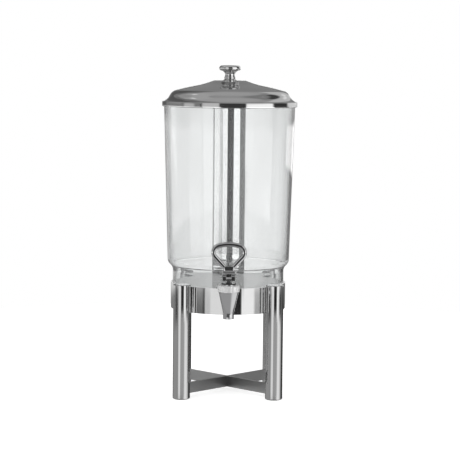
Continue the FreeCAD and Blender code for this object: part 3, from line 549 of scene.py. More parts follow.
def draw(name: str, places: Sequence[Vector]) -> bpy.types.Object:
    """Draws a line by extruding one point from place to place, and stays in edit mode.

    Args:
        name: the piece's name.
        places: the line's points, in metres.

    Returns:
        The new piece, open in edit mode.
    """
    deselect()
    bpy.ops.mesh.primitive_plane_add(size=MM, location=ORIGIN)
    piece = bpy.context.object
    piece.name = piece.data.name = name
    begin(piece)
    bpy.ops.mesh.merge(type="CENTER")
    bpy.ops.transform.translate(value=places[0])
    for before, after in zip(places, places[1:]):
        bpy.ops.mesh.extrude_region_move(TRANSFORM_OT_translate={"value": after - before})
    bpy.ops.mesh.select_all(action="SELECT")
    return piece


def turn(
    name: str,
    outline: Sequence[Corner],
    facets: Facets,
    centre: Vector = ORIGIN,
    axis: Axis = Axis.UPRIGHT,
) -> bpy.types.Object:
    """Draws a closed outline and spins it about an axis.

    Args:
        name: the piece's name.
        outline: the outline in millimetres: distance from the axis, and level along it.
        facets: the steps of the spin.
        centre: a point of the axis, in metres.
        axis: which way the axis runs.

    Returns:
        The turned piece.
    """
    points = trace(outline)
    points.append(points[0])
    along = Vector(axis.value)
    out = Vector((0, 1, 0)) if axis is Axis.ACROSS else Vector((1, 0, 0))
    piece = draw(name, [centre + out * reach + along * level for reach, level in points])
    bpy.ops.mesh.spin(steps=facets.value, angle=2 * math.pi, center=centre, axis=along)
    close()
    return piece


def slab(name: str, outline: Sequence[Corner], width_mm: float, centre: Vector) -> bpy.types.Object:
    """A side view of (depth, height) drawn out across the object.

    Args:
        name: the piece's name.
        outline: the side view in millimetres, about the centre, anticlockwise.
        width_mm: how wide the slab is.
        centre: the outline's origin, in metres.

    Returns:
        The slab.
    """
    points = trace(outline)
    points.append(points[0])
    start = centre - Vector((width_mm * MM / 2, 0, 0))
    piece = draw(name, [start + Vector((0, depth, height)) for depth, height in points])
    bpy.ops.mesh.remove_doubles(threshold=WELD)
    bpy.ops.mesh.edge_face_add()
    bpy.ops.mesh.extrude_region_move(TRANSFORM_OT_translate={"value": (width_mm * MM, 0, 0)})
    close()
    return piece


def press_flat(piece: bpy.types.Object, depth: float, side: int) -> None:
    """Presses what stands past an upright plane flat onto it.

    Args:
        piece: the piece.
        depth: where the plane stands, in metres along Y.
        side: 1 presses what lies behind the plane, -1 what lies in front of it.
    """
    begin(piece, "DESELECT")
    bpy.ops.object.mode_set(mode="OBJECT")
    for vertex in piece.data.vertices:
        vertex.select = (vertex.co.y - depth) * side > 0
    bpy.ops.object.mode_set(mode="EDIT")
    bpy.ops.transform.resize(value=(1.0, 0.0, 1.0), center_override=(0.0, depth, 0.0))
    bpy.ops.object.mode_set(mode="OBJECT")


def bent_rod(
    name: str, route: Sequence[Corner], radius_mm: float, land_mm: float, centre: Vector
) -> bpy.types.Object:
    """A round rod along a route in the plane that faces the front, with a narrow flat land at front and back.

    Args:
        name: the piece's name.
        route: the middle line as (across, height) in millimetres, about the centre.
        radius_mm: the rod's radius.
        land_mm: the width of each land.
        centre: the route's origin, in metres.

    Returns:
        The rod.
    """
    piece = draw(name, [centre + Vector((across, 0, height)) for across, height in trace(route)])
    bpy.ops.object.mode_set(mode="OBJECT")
    bpy.ops.object.convert(target="CURVE")
    piece.data.bevel_depth = radius_mm * MM
    piece.data.bevel_resolution = ROD_STEPS
    piece.data.use_fill_caps = True
    bpy.ops.object.convert(target="MESH")
    depth = math.sqrt(radius_mm**2 - (land_mm / 2) ** 2) * MM
    for side in (1, -1):
        press_flat(piece, centre.y + side * depth, side)
    begin(piece)
    close()
    return piece


def block(name: str, low: Vector, high: Vector) -> bpy.types.Object:
    """A box between two corners.

    Args:
        name: the box's name.
        low: its lowest corner, in metres.
        high: its highest corner.

    Returns:
        The box.
    """
    deselect()
    bpy.ops.mesh.primitive_cube_add(size=1.0, location=ORIGIN)
    piece = bpy.context.object
    piece.name = piece.data.name = name
    begin(piece)
    bpy.ops.transform.resize(value=high - low)
    bpy.ops.transform.translate(value=(low + high) / 2)
    bpy.ops.object.mode_set(mode="OBJECT")
    return piece


def shift(piece: bpy.types.Object, offset: Vector) -> None:
    """Moves a piece's mesh, so that its object stays at the origin.

    Args:
        piece: the piece.
        offset: how far it goes, in metres.
    """
    begin(piece)
    bpy.ops.transform.translate(value=offset)
    bpy.ops.object.mode_set(mode="OBJECT")


def combine(piece: bpy.types.Object, tool: bpy.types.Object, operation: str = "DIFFERENCE") -> None:
    """Cuts a tool from a piece, or joins it to it, and deletes the tool.

    Args:
        piece: the piece.
        tool: what is cut from it or joined to it.
        operation: DIFFERENCE or UNION.
    """
    pick(piece)
    modifier = piece.modifiers.new("combine", "BOOLEAN")
    modifier.operation = operation
    modifier.solver = "EXACT"
    modifier.object = tool
    bpy.ops.object.modifier_apply(modifier=modifier.name)
    bpy.data.objects.remove(tool)
    begin(piece)
    close()


def soften(piece: bpy.types.Object, width_mm: float, steps: int = 2, angle_deg: float = 40.0) -> None:
    """Rounds a piece's sharp edges.

    Args:
        piece: the piece.
        width_mm: how much of each edge goes.
        steps: the steps of the rounding.
        angle_deg: edges that turn by less than this stay as they are.
    """
    pick(piece)
    modifier = piece.modifiers.new("soften", "BEVEL")
    modifier.width = width_mm * MM
    modifier.segments = steps
    modifier.limit_method = "ANGLE"
    modifier.angle_limit = math.radians(angle_deg)
    modifier.harden_normals = False
    bpy.ops.object.modifier_apply(modifier=modifier.name)
    bpy.ops.object.shade_smooth_by_angle(angle=SMOOTH_ANGLE)


def dress(piece: bpy.types.Object, finish: bpy.types.Material, slot: Slot, body: Body, *nodes: str) -> None:
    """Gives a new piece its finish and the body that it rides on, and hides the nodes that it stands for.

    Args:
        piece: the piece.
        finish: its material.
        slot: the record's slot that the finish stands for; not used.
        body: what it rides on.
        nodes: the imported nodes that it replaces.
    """
    piece.data.materials.clear()
    piece.data.materials.append(finish)
    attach(piece, body.value)
    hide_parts(*nodes)
    LOG.info("%s: %d faces on %s", piece.name, len(piece.data.polygons), body.value)


def repaint(finish: bpy.types.Material, *nodes: str) -> None:
    """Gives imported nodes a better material.

    Args:
        finish: the material.
        nodes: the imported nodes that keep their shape.
    """
    for name in nodes:
        for material_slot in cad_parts[name].material_slots:
            material_slot.material = finish
        LOG.info("%s: packed shape, finish %s", name, finish.name)


@dataclass
class Stand:
    """Four round posts, the band between them and the crossed bars near the floor. Millimetres."""

    post_radius: float = 16.0
    post_wall: float = 1.5
    post_circle: float = 120.0
    post_foot: float = 1.0
    post_top: float = 208.5
    post_edge: float = 1.2
    band_radius: float = 107.0
    band_wall: float = 2.0
    band_bottom: float = 159.0
    band_top: float = 207.0
    band_edge: float = 0.25
    notch_radius: float = 14.0
    notch_level: float = 190.0
    corners: tuple[tuple[str, int, int], ...] = (
        ("front_left", -1, -1),
        ("front_right", 1, -1),
        ("back_left", -1, 1),
        ("back_right", 1, 1),
    )

    def build_posts(self, steel: bpy.types.Material) -> None:
        """Models one post, and cuts the band's full round from a copy of it at each corner.

        Args:
            steel: the posts' material.
        """
        inner = self.post_radius - self.post_wall
        outline: list[Corner] = [
            (inner, self.post_foot),
            (self.post_radius - self.post_edge, self.post_foot),
            Bend(self.post_radius, self.post_foot + self.post_edge, self.post_edge),
            (self.post_radius, self.post_top),
            (inner, self.post_top),
        ]
        post = turn("post", outline, Facets.POST)
        seat = turn("band_seat", rod_outline(self.band_radius, self.band_bottom, self.band_top), Facets.BAND)
        reach = self.post_circle * MM / math.sqrt(2)
        for corner, side_x, side_y in self.corners:
            name = f"post_{corner}"
            piece = copy_of(post, f"{name}_tube")
            shift(piece, Vector((side_x * reach, side_y * reach, 0)))
            combine(piece, copy_of(seat, f"{name}_seat"))
            dress(piece, steel, Slot.POLISHED_STEEL, Body.STAND, name)
        bpy.data.objects.remove(post)
        bpy.data.objects.remove(seat)

    def build_band(self, steel: bpy.types.Material) -> None:
        """Makes the band with its open notch behind the tap, polished outside; inside, a pale matt colour
        paints the light of its reflections.

        Args:
            steel: the material of its outside.
        """
        inner = self.band_radius - self.band_wall
        outline: list[Corner] = [
            (inner, self.band_bottom),
            (self.band_radius, self.band_bottom),
            (self.band_radius, self.band_top),
            (inner, self.band_top),
        ]
        band = turn("support_band", outline, Facets.BAND)
        depth = 2 * self.band_radius
        hole = rod_outline(self.notch_radius, -depth, 0)
        centre = Vector((0, 0, self.notch_level * MM))
        combine(band, turn("notch_round", hole, Facets.PIPE, centre, Axis.DEPTH))
        low = Vector((-self.notch_radius, -depth, self.notch_level)) * MM
        high = Vector((self.notch_radius, 0, self.band_top + self.notch_radius)) * MM
        combine(band, block("notch_open", low, high))
        soften(band, self.band_edge, angle_deg=60.0)
        dress(band, steel, Slot.POLISHED_STEEL, Body.STAND, "support_ring")
        # painted light: the inside takes a pale matt colour in place of its bright reflections
        band.data.materials.append(PAINTED_LIGHT_INSIDE.material())
        middle = (self.band_radius - self.band_wall / 2) * MM
        for face in band.data.polygons:
            if face.center.xy.length < middle:
                face.material_index = 1

    def build(self) -> None:
        """Makes and dresses the stand."""
        steel = POLISHED.material()
        self.build_posts(steel)
        self.build_band(steel)
        repaint(steel, "post_caps")
        repaint(LEDGE.material(), "seat_ring")
        # painted shade and light: the lower bar's copy of the steel is darker than the upper bar's
        repaint(BRUSHED_PAINTED_SHADE.material(), "cross_bar_lower")
        repaint(BRUSHED_PAINTED_LIGHT.material(), "cross_bar_upper")
        repaint(BLACK.material(), "foot_glides")
        repaint(SEAL.material(), "cushion_ring")


@dataclass
class Vessel:
    """The clear moulding: narrow sump, swept shoulder, drafted wall and the ice tube's hub. Millimetres."""

    bottom: float = 163.5
    floor_top: float = 168.5
    wall: float = 4.0
    sump_radius: float = 103.4
    sump_top: float = 229.0
    foot_round: float = 4.0
    floor_fillet: float = 3.0
    shoulder_height: float = 22.0
    core_drop: float = 2.0
    seam_width: float = 1.8
    seam_depth: float = 0.6
    wall_foot: float = 113.4
    rim_radius: float = 121.8
    rim: float = 543.7
    rim_round: float = 1.5
    hub_radius: float = 28.2
    hub_top: float = 177.5
    groove_radius: float = 26.4
    groove_bottom: float = 171.8
    groove_top: float = 174.2
    pipe_level: float = 190.0
    pipe_radius: float = 8.3

    def outline(self) -> list[Corner]:
        """The wall's section: outside up to the rim, then down the inside to the hub.

        Returns:
            The section. The shoulder is two sweeps that meet at the seam, and inside it sits lower.
        """
        step = self.wall_foot - self.sump_radius
        sweep = (step**2 + self.shoulder_height**2) / (4 * step)
        slope = 2 * math.atan2(step, self.shoulder_height)
        middle = self.sump_top + self.shoulder_height / 2
        top = self.sump_top + self.shoulder_height
        half = self.sump_radius + step / 2
        half_in = half - self.wall * math.cos(slope)
        middle_in = middle + self.wall * math.sin(slope)
        inner = self.sump_radius - self.wall
        rim_inner = self.rim_radius - self.wall
        lean = Vector((math.sin(slope), math.cos(slope))) * self.seam_width / 2
        notch = Vector((-math.cos(slope), math.sin(slope))) * self.seam_depth
        return [
            (0, self.bottom),
            (self.sump_radius - self.foot_round, self.bottom),
            Bend(self.sump_radius, self.bottom + self.foot_round, self.foot_round),
            (self.sump_radius, self.sump_top),
            Bend(half - lean.x, middle - lean.y, sweep, swell=False),
            (half + notch.x, middle + notch.y),
            (half + lean.x, middle + lean.y),
            Bend(self.wall_foot, top, sweep),
            (self.rim_radius, self.rim - self.rim_round),
            Bend(self.rim_radius - self.rim_round, self.rim, self.rim_round),
            (rim_inner + self.rim_round, self.rim),
            Bend(rim_inner, self.rim - self.rim_round, self.rim_round),
            (self.wall_foot - self.wall, top - self.core_drop),
            Bend(half_in, middle_in - self.core_drop, sweep - self.wall, swell=False),
            Bend(inner, self.sump_top - self.core_drop, sweep + self.wall),
            (inner, self.floor_top + self.floor_fillet),
            Bend(inner - self.floor_fillet, self.floor_top, self.floor_fillet, swell=False),
            (self.hub_radius, self.floor_top),
            (self.hub_radius, self.groove_bottom),
            (self.groove_radius, self.groove_bottom),
            (self.groove_radius, self.groove_top),
            (self.hub_radius, self.groove_top),
            (self.hub_radius, self.hub_top),
            (0, self.hub_top),
        ]

    def build(self) -> None:
        """Makes and dresses the vessel, with the hole for the tap's pipe."""
        piece = turn("vessel", self.outline(), Facets.SHELL)
        hole = rod_outline(self.pipe_radius, -2 * self.sump_radius, 0)
        centre = Vector((0, 0, self.pipe_level * MM))
        combine(piece, turn("pipe_hole", hole, Facets.HOLE, centre, Axis.DEPTH))
        dress(piece, CLEAR.material(), Slot.CLEAR, Body.CONTAINER, "container")
        repaint(SEAL.material(), "hub_seal")


@dataclass
class IceTube:
    """The polished tube in the middle of the vessel. Millimetres."""

    radius: float = 30.0
    wall: float = 1.0
    bottom: float = 168.7
    top: float = 539.7
    lip: float = 2.5
    lip_thickness: float = 1.2

    def build(self) -> None:
        """Makes and dresses the tube."""
        bore = self.radius - self.wall
        edge = self.lip_thickness / 2
        outline: list[Corner] = [
            (bore, self.bottom),
            (self.radius, self.bottom),
            (self.radius, self.top - self.lip_thickness - edge),
            Bend(self.radius + edge, self.top - self.lip_thickness, edge, swell=False),
            (self.radius + self.lip - edge, self.top - self.lip_thickness),
            Bend(self.radius + self.lip, self.top - edge, edge),
            Bend(self.radius + self.lip - edge, self.top, edge),
            (bore, self.top),
        ]
        piece = turn("ice_tube_shell", outline, Facets.TUBE)
        steel = POLISHED.material()
        dress(piece, steel, Slot.POLISHED_STEEL, Body.ICE_TUBE, "ice_tube")
        repaint(steel, "ice_tube_base")


@dataclass
class Lid:
    """The spun lid with its hemmed rim, and the turned knob. Millimetres; heights are above the seat."""

    seat: float = 544.0
    rim: float = 125.35
    rim_round: float = 1.2
    drop: float = 10.0
    hem: float = 123.75
    hem_inner: float = 116.5
    hem_height: float = 4.2
    rim_top: float = -1.0
    flare_foot: tuple[float, float] = (124.8, -0.2)
    flare_arc: float = 20.0
    flare_top: tuple[float, float] = (111.6, 11.4)
    shoulder_arc: float = 18.2
    shoulder_top: tuple[float, float] = (100.5, 20.5)
    dome_arc: float = 400.0
    dome_top: tuple[float, float] = (57.0, 30.3)
    neck_arc: float = 150.0
    crown: tuple[float, float] = (30.5, 38.4)
    dish_radius: float = 21.0
    dish_depth: float = 1.0
    sheet: float = 1.0
    lean: float = 0.6
    bore: float = 2.75
    knob_foot: float = 15.5
    knob_foot_edge: float = 0.8
    bead_radius: float = 10.0
    bead_level: float = 5.6
    bead_arc: float = 4.0
    waist_radius: float = 8.75
    waist_level: float = 12.1
    flare_under: float = 10.0
    head_under: tuple[float, float] = (18.0, 19.7)
    head_arc: float = 5.2
    head_face: tuple[float, float] = (17.0, 28.5)
    knob_height: float = 29.5
    knob_bore: float = 2.5
    knob_bore_depth: float = 12.0

    def shell_outline(self) -> list[Corner]:
        """The lid's section, up the outside to the knob's screw and back down the inside.

        Returns:
            The section; inside, each corner sits lower by the sheet's thickness and a little further in.
        """
        down = self.sheet
        inward = self.sheet * self.lean
        seat = self.seat
        crown = seat + self.crown[1]
        dish = crown - self.dish_depth
        dome_x, dome_z = self.dome_top[0] - inward, seat + self.dome_top[1] - down
        shoulder_x, shoulder_z = self.shoulder_top[0] - inward, seat + self.shoulder_top[1] - down
        flare_x, flare_z = self.flare_top[0] - inward, seat + self.flare_top[1] - down
        return [
            (self.hem, seat - self.drop),
            (self.rim - self.rim_round, seat - self.drop),
            Bend(self.rim, seat - self.drop + self.rim_round, self.rim_round),
            (self.rim, seat + self.rim_top),
            Bend(self.flare_foot[0], seat + self.flare_foot[1], self.rim_round),
            Bend(self.flare_top[0], seat + self.flare_top[1], self.flare_arc, swell=False),
            Bend(self.shoulder_top[0], seat + self.shoulder_top[1], self.shoulder_arc),
            Bend(self.dome_top[0], seat + self.dome_top[1], self.dome_arc),
            Bend(self.crown[0], crown, self.neck_arc, swell=False),
            (self.dish_radius + self.dish_depth, crown),
            (self.dish_radius, dish),
            (self.bore, dish),
            (self.bore, dish - down),
            (self.dish_radius + inward, dish - down),
            (self.dish_radius + self.dish_depth + inward, crown - down),
            (self.crown[0] - inward, crown - down),
            Bend(dome_x, dome_z, self.neck_arc + down),
            Bend(shoulder_x, shoulder_z, self.dome_arc - down, swell=False),
            Bend(flare_x, flare_z, self.shoulder_arc - down, swell=False),
            Bend(self.hem_inner, seat + self.hem_height, self.flare_arc + down),
            (self.hem_inner, seat),
            (self.hem, seat),
        ]

    def knob_outline(self) -> list[Corner]:
        """The knob's section, from its foot up to the head and down its bore.

        Returns:
            The section.
        """
        base = self.seat + self.crown[1] - self.dish_depth
        rise = self.knob_height - self.head_face[1]
        face_arc = (self.head_face[0] ** 2 + rise**2) / (2 * rise)
        half = self.bead_arc / 2
        return [
            (self.knob_bore, base),
            (self.knob_foot, base),
            (self.knob_foot, base + self.knob_foot_edge),
            Bend(self.bead_radius, base + self.bead_level - half, 2 * self.bead_arc, swell=False),
            Bend(self.bead_radius, base + self.bead_level + half, self.bead_arc),
            (self.waist_radius, base + self.waist_level),
            Bend(self.head_under[0], base + self.head_under[1], self.flare_under, swell=False),
            Bend(self.head_face[0], base + self.head_face[1], self.head_arc),
            Bend(0, base + self.knob_height, face_arc),
            (0, base + self.knob_bore_depth),
            (self.knob_bore, base + self.knob_bore_depth),
        ]

    def build(self) -> None:
        """Makes and dresses the lid and its knob."""
        shell = turn("lid_dome", self.shell_outline(), Facets.SHELL)
        dress(shell, SPUN.material(), Slot.LID_STEEL, Body.LID, "lid_shell")
        knob = turn("lid_knob_turned", self.knob_outline(), Facets.POST)
        dress(knob, TURNED.material(), Slot.LID_STEEL, Body.LID, "lid_knob")
        repaint(SATIN.material(), "knob_washer", "knob_screw")


@dataclass
class TapPiece:
    """What the tap's pieces share: how far in front of the vessel's axis they stand. Millimetres."""

    reach: float = 140.0

    def axis(self) -> Vector:
        """The foot of the tap's upright axis, in metres."""
        return Vector((0, -self.reach, 0)) * MM


@dataclass
class Tap(TapPiece):
    """The tap: cone and spout with its pipe, scalloped nut, forked bonnet and loop lever. Millimetres."""

    pipe_level: float = 190.0
    mouth: float = 156.6
    cone_foot: float = 167.8
    spout_radius: float = 9.85
    spout_edge: float = 0.6
    spout_bore: float = 7.5
    throat: float = 164.0
    seat_bore: float = 6.0
    seat_level: float = 176.0
    land_radius: float = 9.3
    land_top: float = 178.0
    cone_radius: float = 18.3
    cone_top: float = 205.8
    collar_radius: float = 15.6
    collar_top: float = 213.0
    chamber_radius: float = 13.0
    pipe_radius: float = 8.0
    pipe_bore: float = 4.5
    pipe_end: float = 84.0
    flange_face: float = 105.4
    flange_back: float = 108.4
    flange_radius: float = 13.0

    def outside(self) -> list[Corner]:
        """The section of the spout, cone and collar, as if they were solid.

        Returns:
            The section, from the mouth up.
        """
        return [
            (0, self.mouth),
            (self.spout_radius - self.spout_edge, self.mouth),
            Bend(self.spout_radius, self.mouth + self.spout_edge, self.spout_edge),
            (self.spout_radius, self.cone_foot),
            (self.cone_radius, self.cone_top),
            (self.collar_radius, self.cone_top),
            (self.collar_radius, self.collar_top),
            (0, self.collar_top),
        ]

    def inside(self) -> list[Corner]:
        """The section of the drink's way down: chamber, seat, throat and mouth.

        Returns:
            The section, from the mouth up.
        """
        return [
            (0, self.mouth - JUST_PAST),
            (self.spout_bore, self.mouth - JUST_PAST),
            (self.spout_bore, self.throat),
            (self.seat_bore, self.throat + self.spout_bore - self.seat_bore),
            (self.seat_bore, self.seat_level),
            (self.land_radius, self.seat_level),
            (self.land_radius, self.land_top),
            (self.chamber_radius, self.cone_top),
            (self.chamber_radius, self.collar_top + JUST_PAST),
            (0, self.collar_top + JUST_PAST),
        ]

    def pipe(self) -> list[Corner]:
        """The section of the pipe, with the flange that the outer washer rests on.

        Returns:
            The section, from the cone backwards into the vessel.
        """
        return [
            (0, -self.reach),
            (self.pipe_radius, -self.reach),
            (self.pipe_radius, -self.flange_back),
            (self.flange_radius, -self.flange_back),
            (self.flange_radius, -self.flange_face),
            (self.pipe_radius, -self.flange_face),
            (self.pipe_radius, -self.pipe_end),
            (0, -self.pipe_end),
        ]

    def build_body(self) -> None:
        """Makes the cone and spout with the pipe through the vessel's wall, all hollow."""
        level = Vector((0, 0, self.pipe_level * MM))
        bore = rod_outline(self.pipe_bore, -self.reach, JUST_PAST - self.pipe_end)
        piece = turn("tap_cone", self.outside(), Facets.POST, self.axis())
        combine(piece, turn("tap_pipe", self.pipe(), Facets.PIPE, level, Axis.DEPTH), "UNION")
        combine(piece, turn("tap_chamber", self.inside(), Facets.POST, self.axis()))
        combine(piece, turn("tap_bore", bore, Facets.HOLE, level, Axis.DEPTH))
        dress(piece, CHROME.material(), Slot.CHROME, Body.CONTAINER, "tap_body")

    def build(self) -> None:
        """Makes and dresses the tap."""
        self.build_body()
        CollarNut().build()
        Bonnet().build()
        Lever().build()
        repaint(SATIN.material(), "lever_pin", "valve_rod", "return_spring")
        repaint(SEAL.material(), "tap_gasket_outer", "tap_gasket_inner", "seat_cup")
        repaint(WHITE.material(), "tap_lock_nut")


@dataclass
class CollarNut(TapPiece):
    """The scalloped nut that holds the bonnet on the cone. Millimetres."""

    bottom: float = 206.0
    top: float = 217.5
    radius: float = 20.0
    edge: float = 1.2
    bore: float = 15.8
    eye: float = 13.2
    roof: float = 215.2
    lobes: int = 10
    scallop_radius: float = 4.2
    scallop_depth: float = 1.6
    scallop_edge: float = 0.4

    def build(self) -> None:
        """Makes and dresses the nut; its scallops are cut with copies of one round tool."""
        outline: list[Corner] = [
            (self.bore, self.bottom),
            (self.radius - self.edge, self.bottom),
            Bend(self.radius, self.bottom + self.edge, self.edge),
            (self.radius, self.top - self.edge),
            Bend(self.radius - self.edge, self.top, self.edge),
            (self.eye, self.top),
            (self.eye, self.roof),
            (self.bore, self.roof),
        ]
        piece = turn("collar_nut", outline, Facets.NUT, self.axis())
        groove = rod_outline(self.scallop_radius, self.bottom - JUST_PAST, self.top + JUST_PAST)
        cutter = turn("nut_scallop", groove, Facets.SCALLOP, self.axis())
        away = (self.radius - self.scallop_depth + self.scallop_radius) * MM
        for lobe in range(self.lobes):
            angle = 2 * math.pi * lobe / self.lobes
            tool = copy_of(cutter, f"nut_scallop_{lobe}")
            shift(tool, Vector((math.cos(angle), math.sin(angle), 0)) * away)
            combine(piece, tool)
        bpy.data.objects.remove(cutter)
        soften(piece, self.scallop_edge, angle_deg=30.0)
        dress(piece, CAST_NICKEL.material(), Slot.CHROME, Body.CONTAINER, "bonnet_nut")


@dataclass
class Bonnet(TapPiece):
    """The tap's top: flange, neck and the fork that carries the lever's pin. Millimetres."""

    collar_top: float = 213.0
    rim_radius: float = 15.4
    rim_top: float = 215.0
    flange_radius: float = 13.0
    flange_top: float = 221.5
    shade_ring_bed: float = 12.0
    shade_ring_radius: float = 13.2
    shade_ring_foot: float = 219.3
    shade_ring_round: float = 0.5
    neck_width: float = 8.0
    neck_depth: float = 10.0
    fork_foot: float = 226.5
    slot_floor: float = 227.6
    rod_bore: float = 2.08
    pin_back: float = 4.5
    pin_level: float = 232.0
    pin_bore: float = 2.0
    fork_width: float = 22.4
    fork_radius: float = 5.4
    heel: float = 9.5
    heel_drop: float = 3.0
    slot_width: float = 10.0
    edge: float = 0.35

    def flange(self) -> list[Corner]:
        """The section of the rim and flange, with the bed of the black ring of painted shade.

        Returns:
            The section, from the collar up.
        """
        return [
            (0, self.collar_top),
            (self.rim_radius, self.collar_top),
            (self.rim_radius, self.rim_top),
            (self.flange_radius, self.rim_top),
            (self.flange_radius, self.shade_ring_foot),
            (self.shade_ring_bed, self.shade_ring_foot),
            (self.shade_ring_bed, self.flange_top),
            (0, self.flange_top),
        ]

    def fork(self) -> list[Corner]:
        """The fork's side view about the pin: round on top, with a heel behind.

        Returns:
            The outline as (depth, height).
        """
        foot = self.fork_foot - self.pin_level
        return [
            (-self.fork_radius, foot),
            (self.heel, foot),
            (self.heel, -self.heel_drop),
            (self.fork_radius, -self.heel_drop),
            (self.fork_radius, 0),
            Bend(0, self.fork_radius, self.fork_radius),
            Bend(-self.fork_radius, 0, self.fork_radius),
        ]

    def build(self) -> None:
        """Makes and dresses the bonnet."""
        axis = self.axis()
        pin = Vector((0, -self.reach - self.pin_back, self.pin_level)) * MM
        piece = turn("bonnet_flange", self.flange(), Facets.FLANGE, axis)
        combine(piece, slab("bonnet_fork", self.fork(), self.fork_width, pin), "UNION")
        size = Vector((self.neck_width, self.neck_depth, 0)) * MM / 2
        low = axis - size + Vector((0, 0, (self.flange_top - JUST_PAST) * MM))
        high = axis + size + Vector((0, 0, self.slot_floor * MM))
        combine(piece, block("bonnet_neck", low, high), "UNION")
        half = self.slot_width / 2
        low = Vector((-half, -self.reach - WELL_PAST, self.slot_floor)) * MM
        high = Vector((half, -self.reach + WELL_PAST, self.pin_level + WELL_PAST)) * MM
        combine(piece, block("fork_slot", low, high))
        rod = rod_outline(self.rod_bore, self.collar_top - WELL_PAST, self.pin_level + WELL_PAST)
        combine(piece, turn("rod_way", rod, Facets.BORE, axis))
        eye = rod_outline(self.pin_bore, -WELL_PAST, WELL_PAST)
        combine(piece, turn("pin_hole", eye, Facets.BORE, pin, Axis.ACROSS))
        soften(piece, self.edge, angle_deg=45.0)
        dress(piece, CHROME.material(), Slot.CHROME, Body.CONTAINER, "bonnet")
        self.build_shade_ring()

    def build_shade_ring(self) -> None:
        """Makes and dresses the black ring let into the flange's edge, a dark band of painted shade."""
        soft = self.shade_ring_round
        section: list[Corner] = [
            (self.shade_ring_bed, self.shade_ring_foot),
            (self.shade_ring_radius - soft, self.shade_ring_foot),
            Bend(self.shade_ring_radius, self.shade_ring_foot + soft, soft),
            (self.shade_ring_radius, self.flange_top - soft),
            Bend(self.shade_ring_radius - soft, self.flange_top, soft),
            (self.shade_ring_bed, self.flange_top),
        ]
        # painted shade: a black ring where the flange's edge has only a dark line of shade
        ring = turn("flange_shade_ring", section, Facets.FLANGE, self.axis())
        dress(ring, PAINTED_SHADE_RING.material(), Slot.BLACK, Body.CONTAINER)


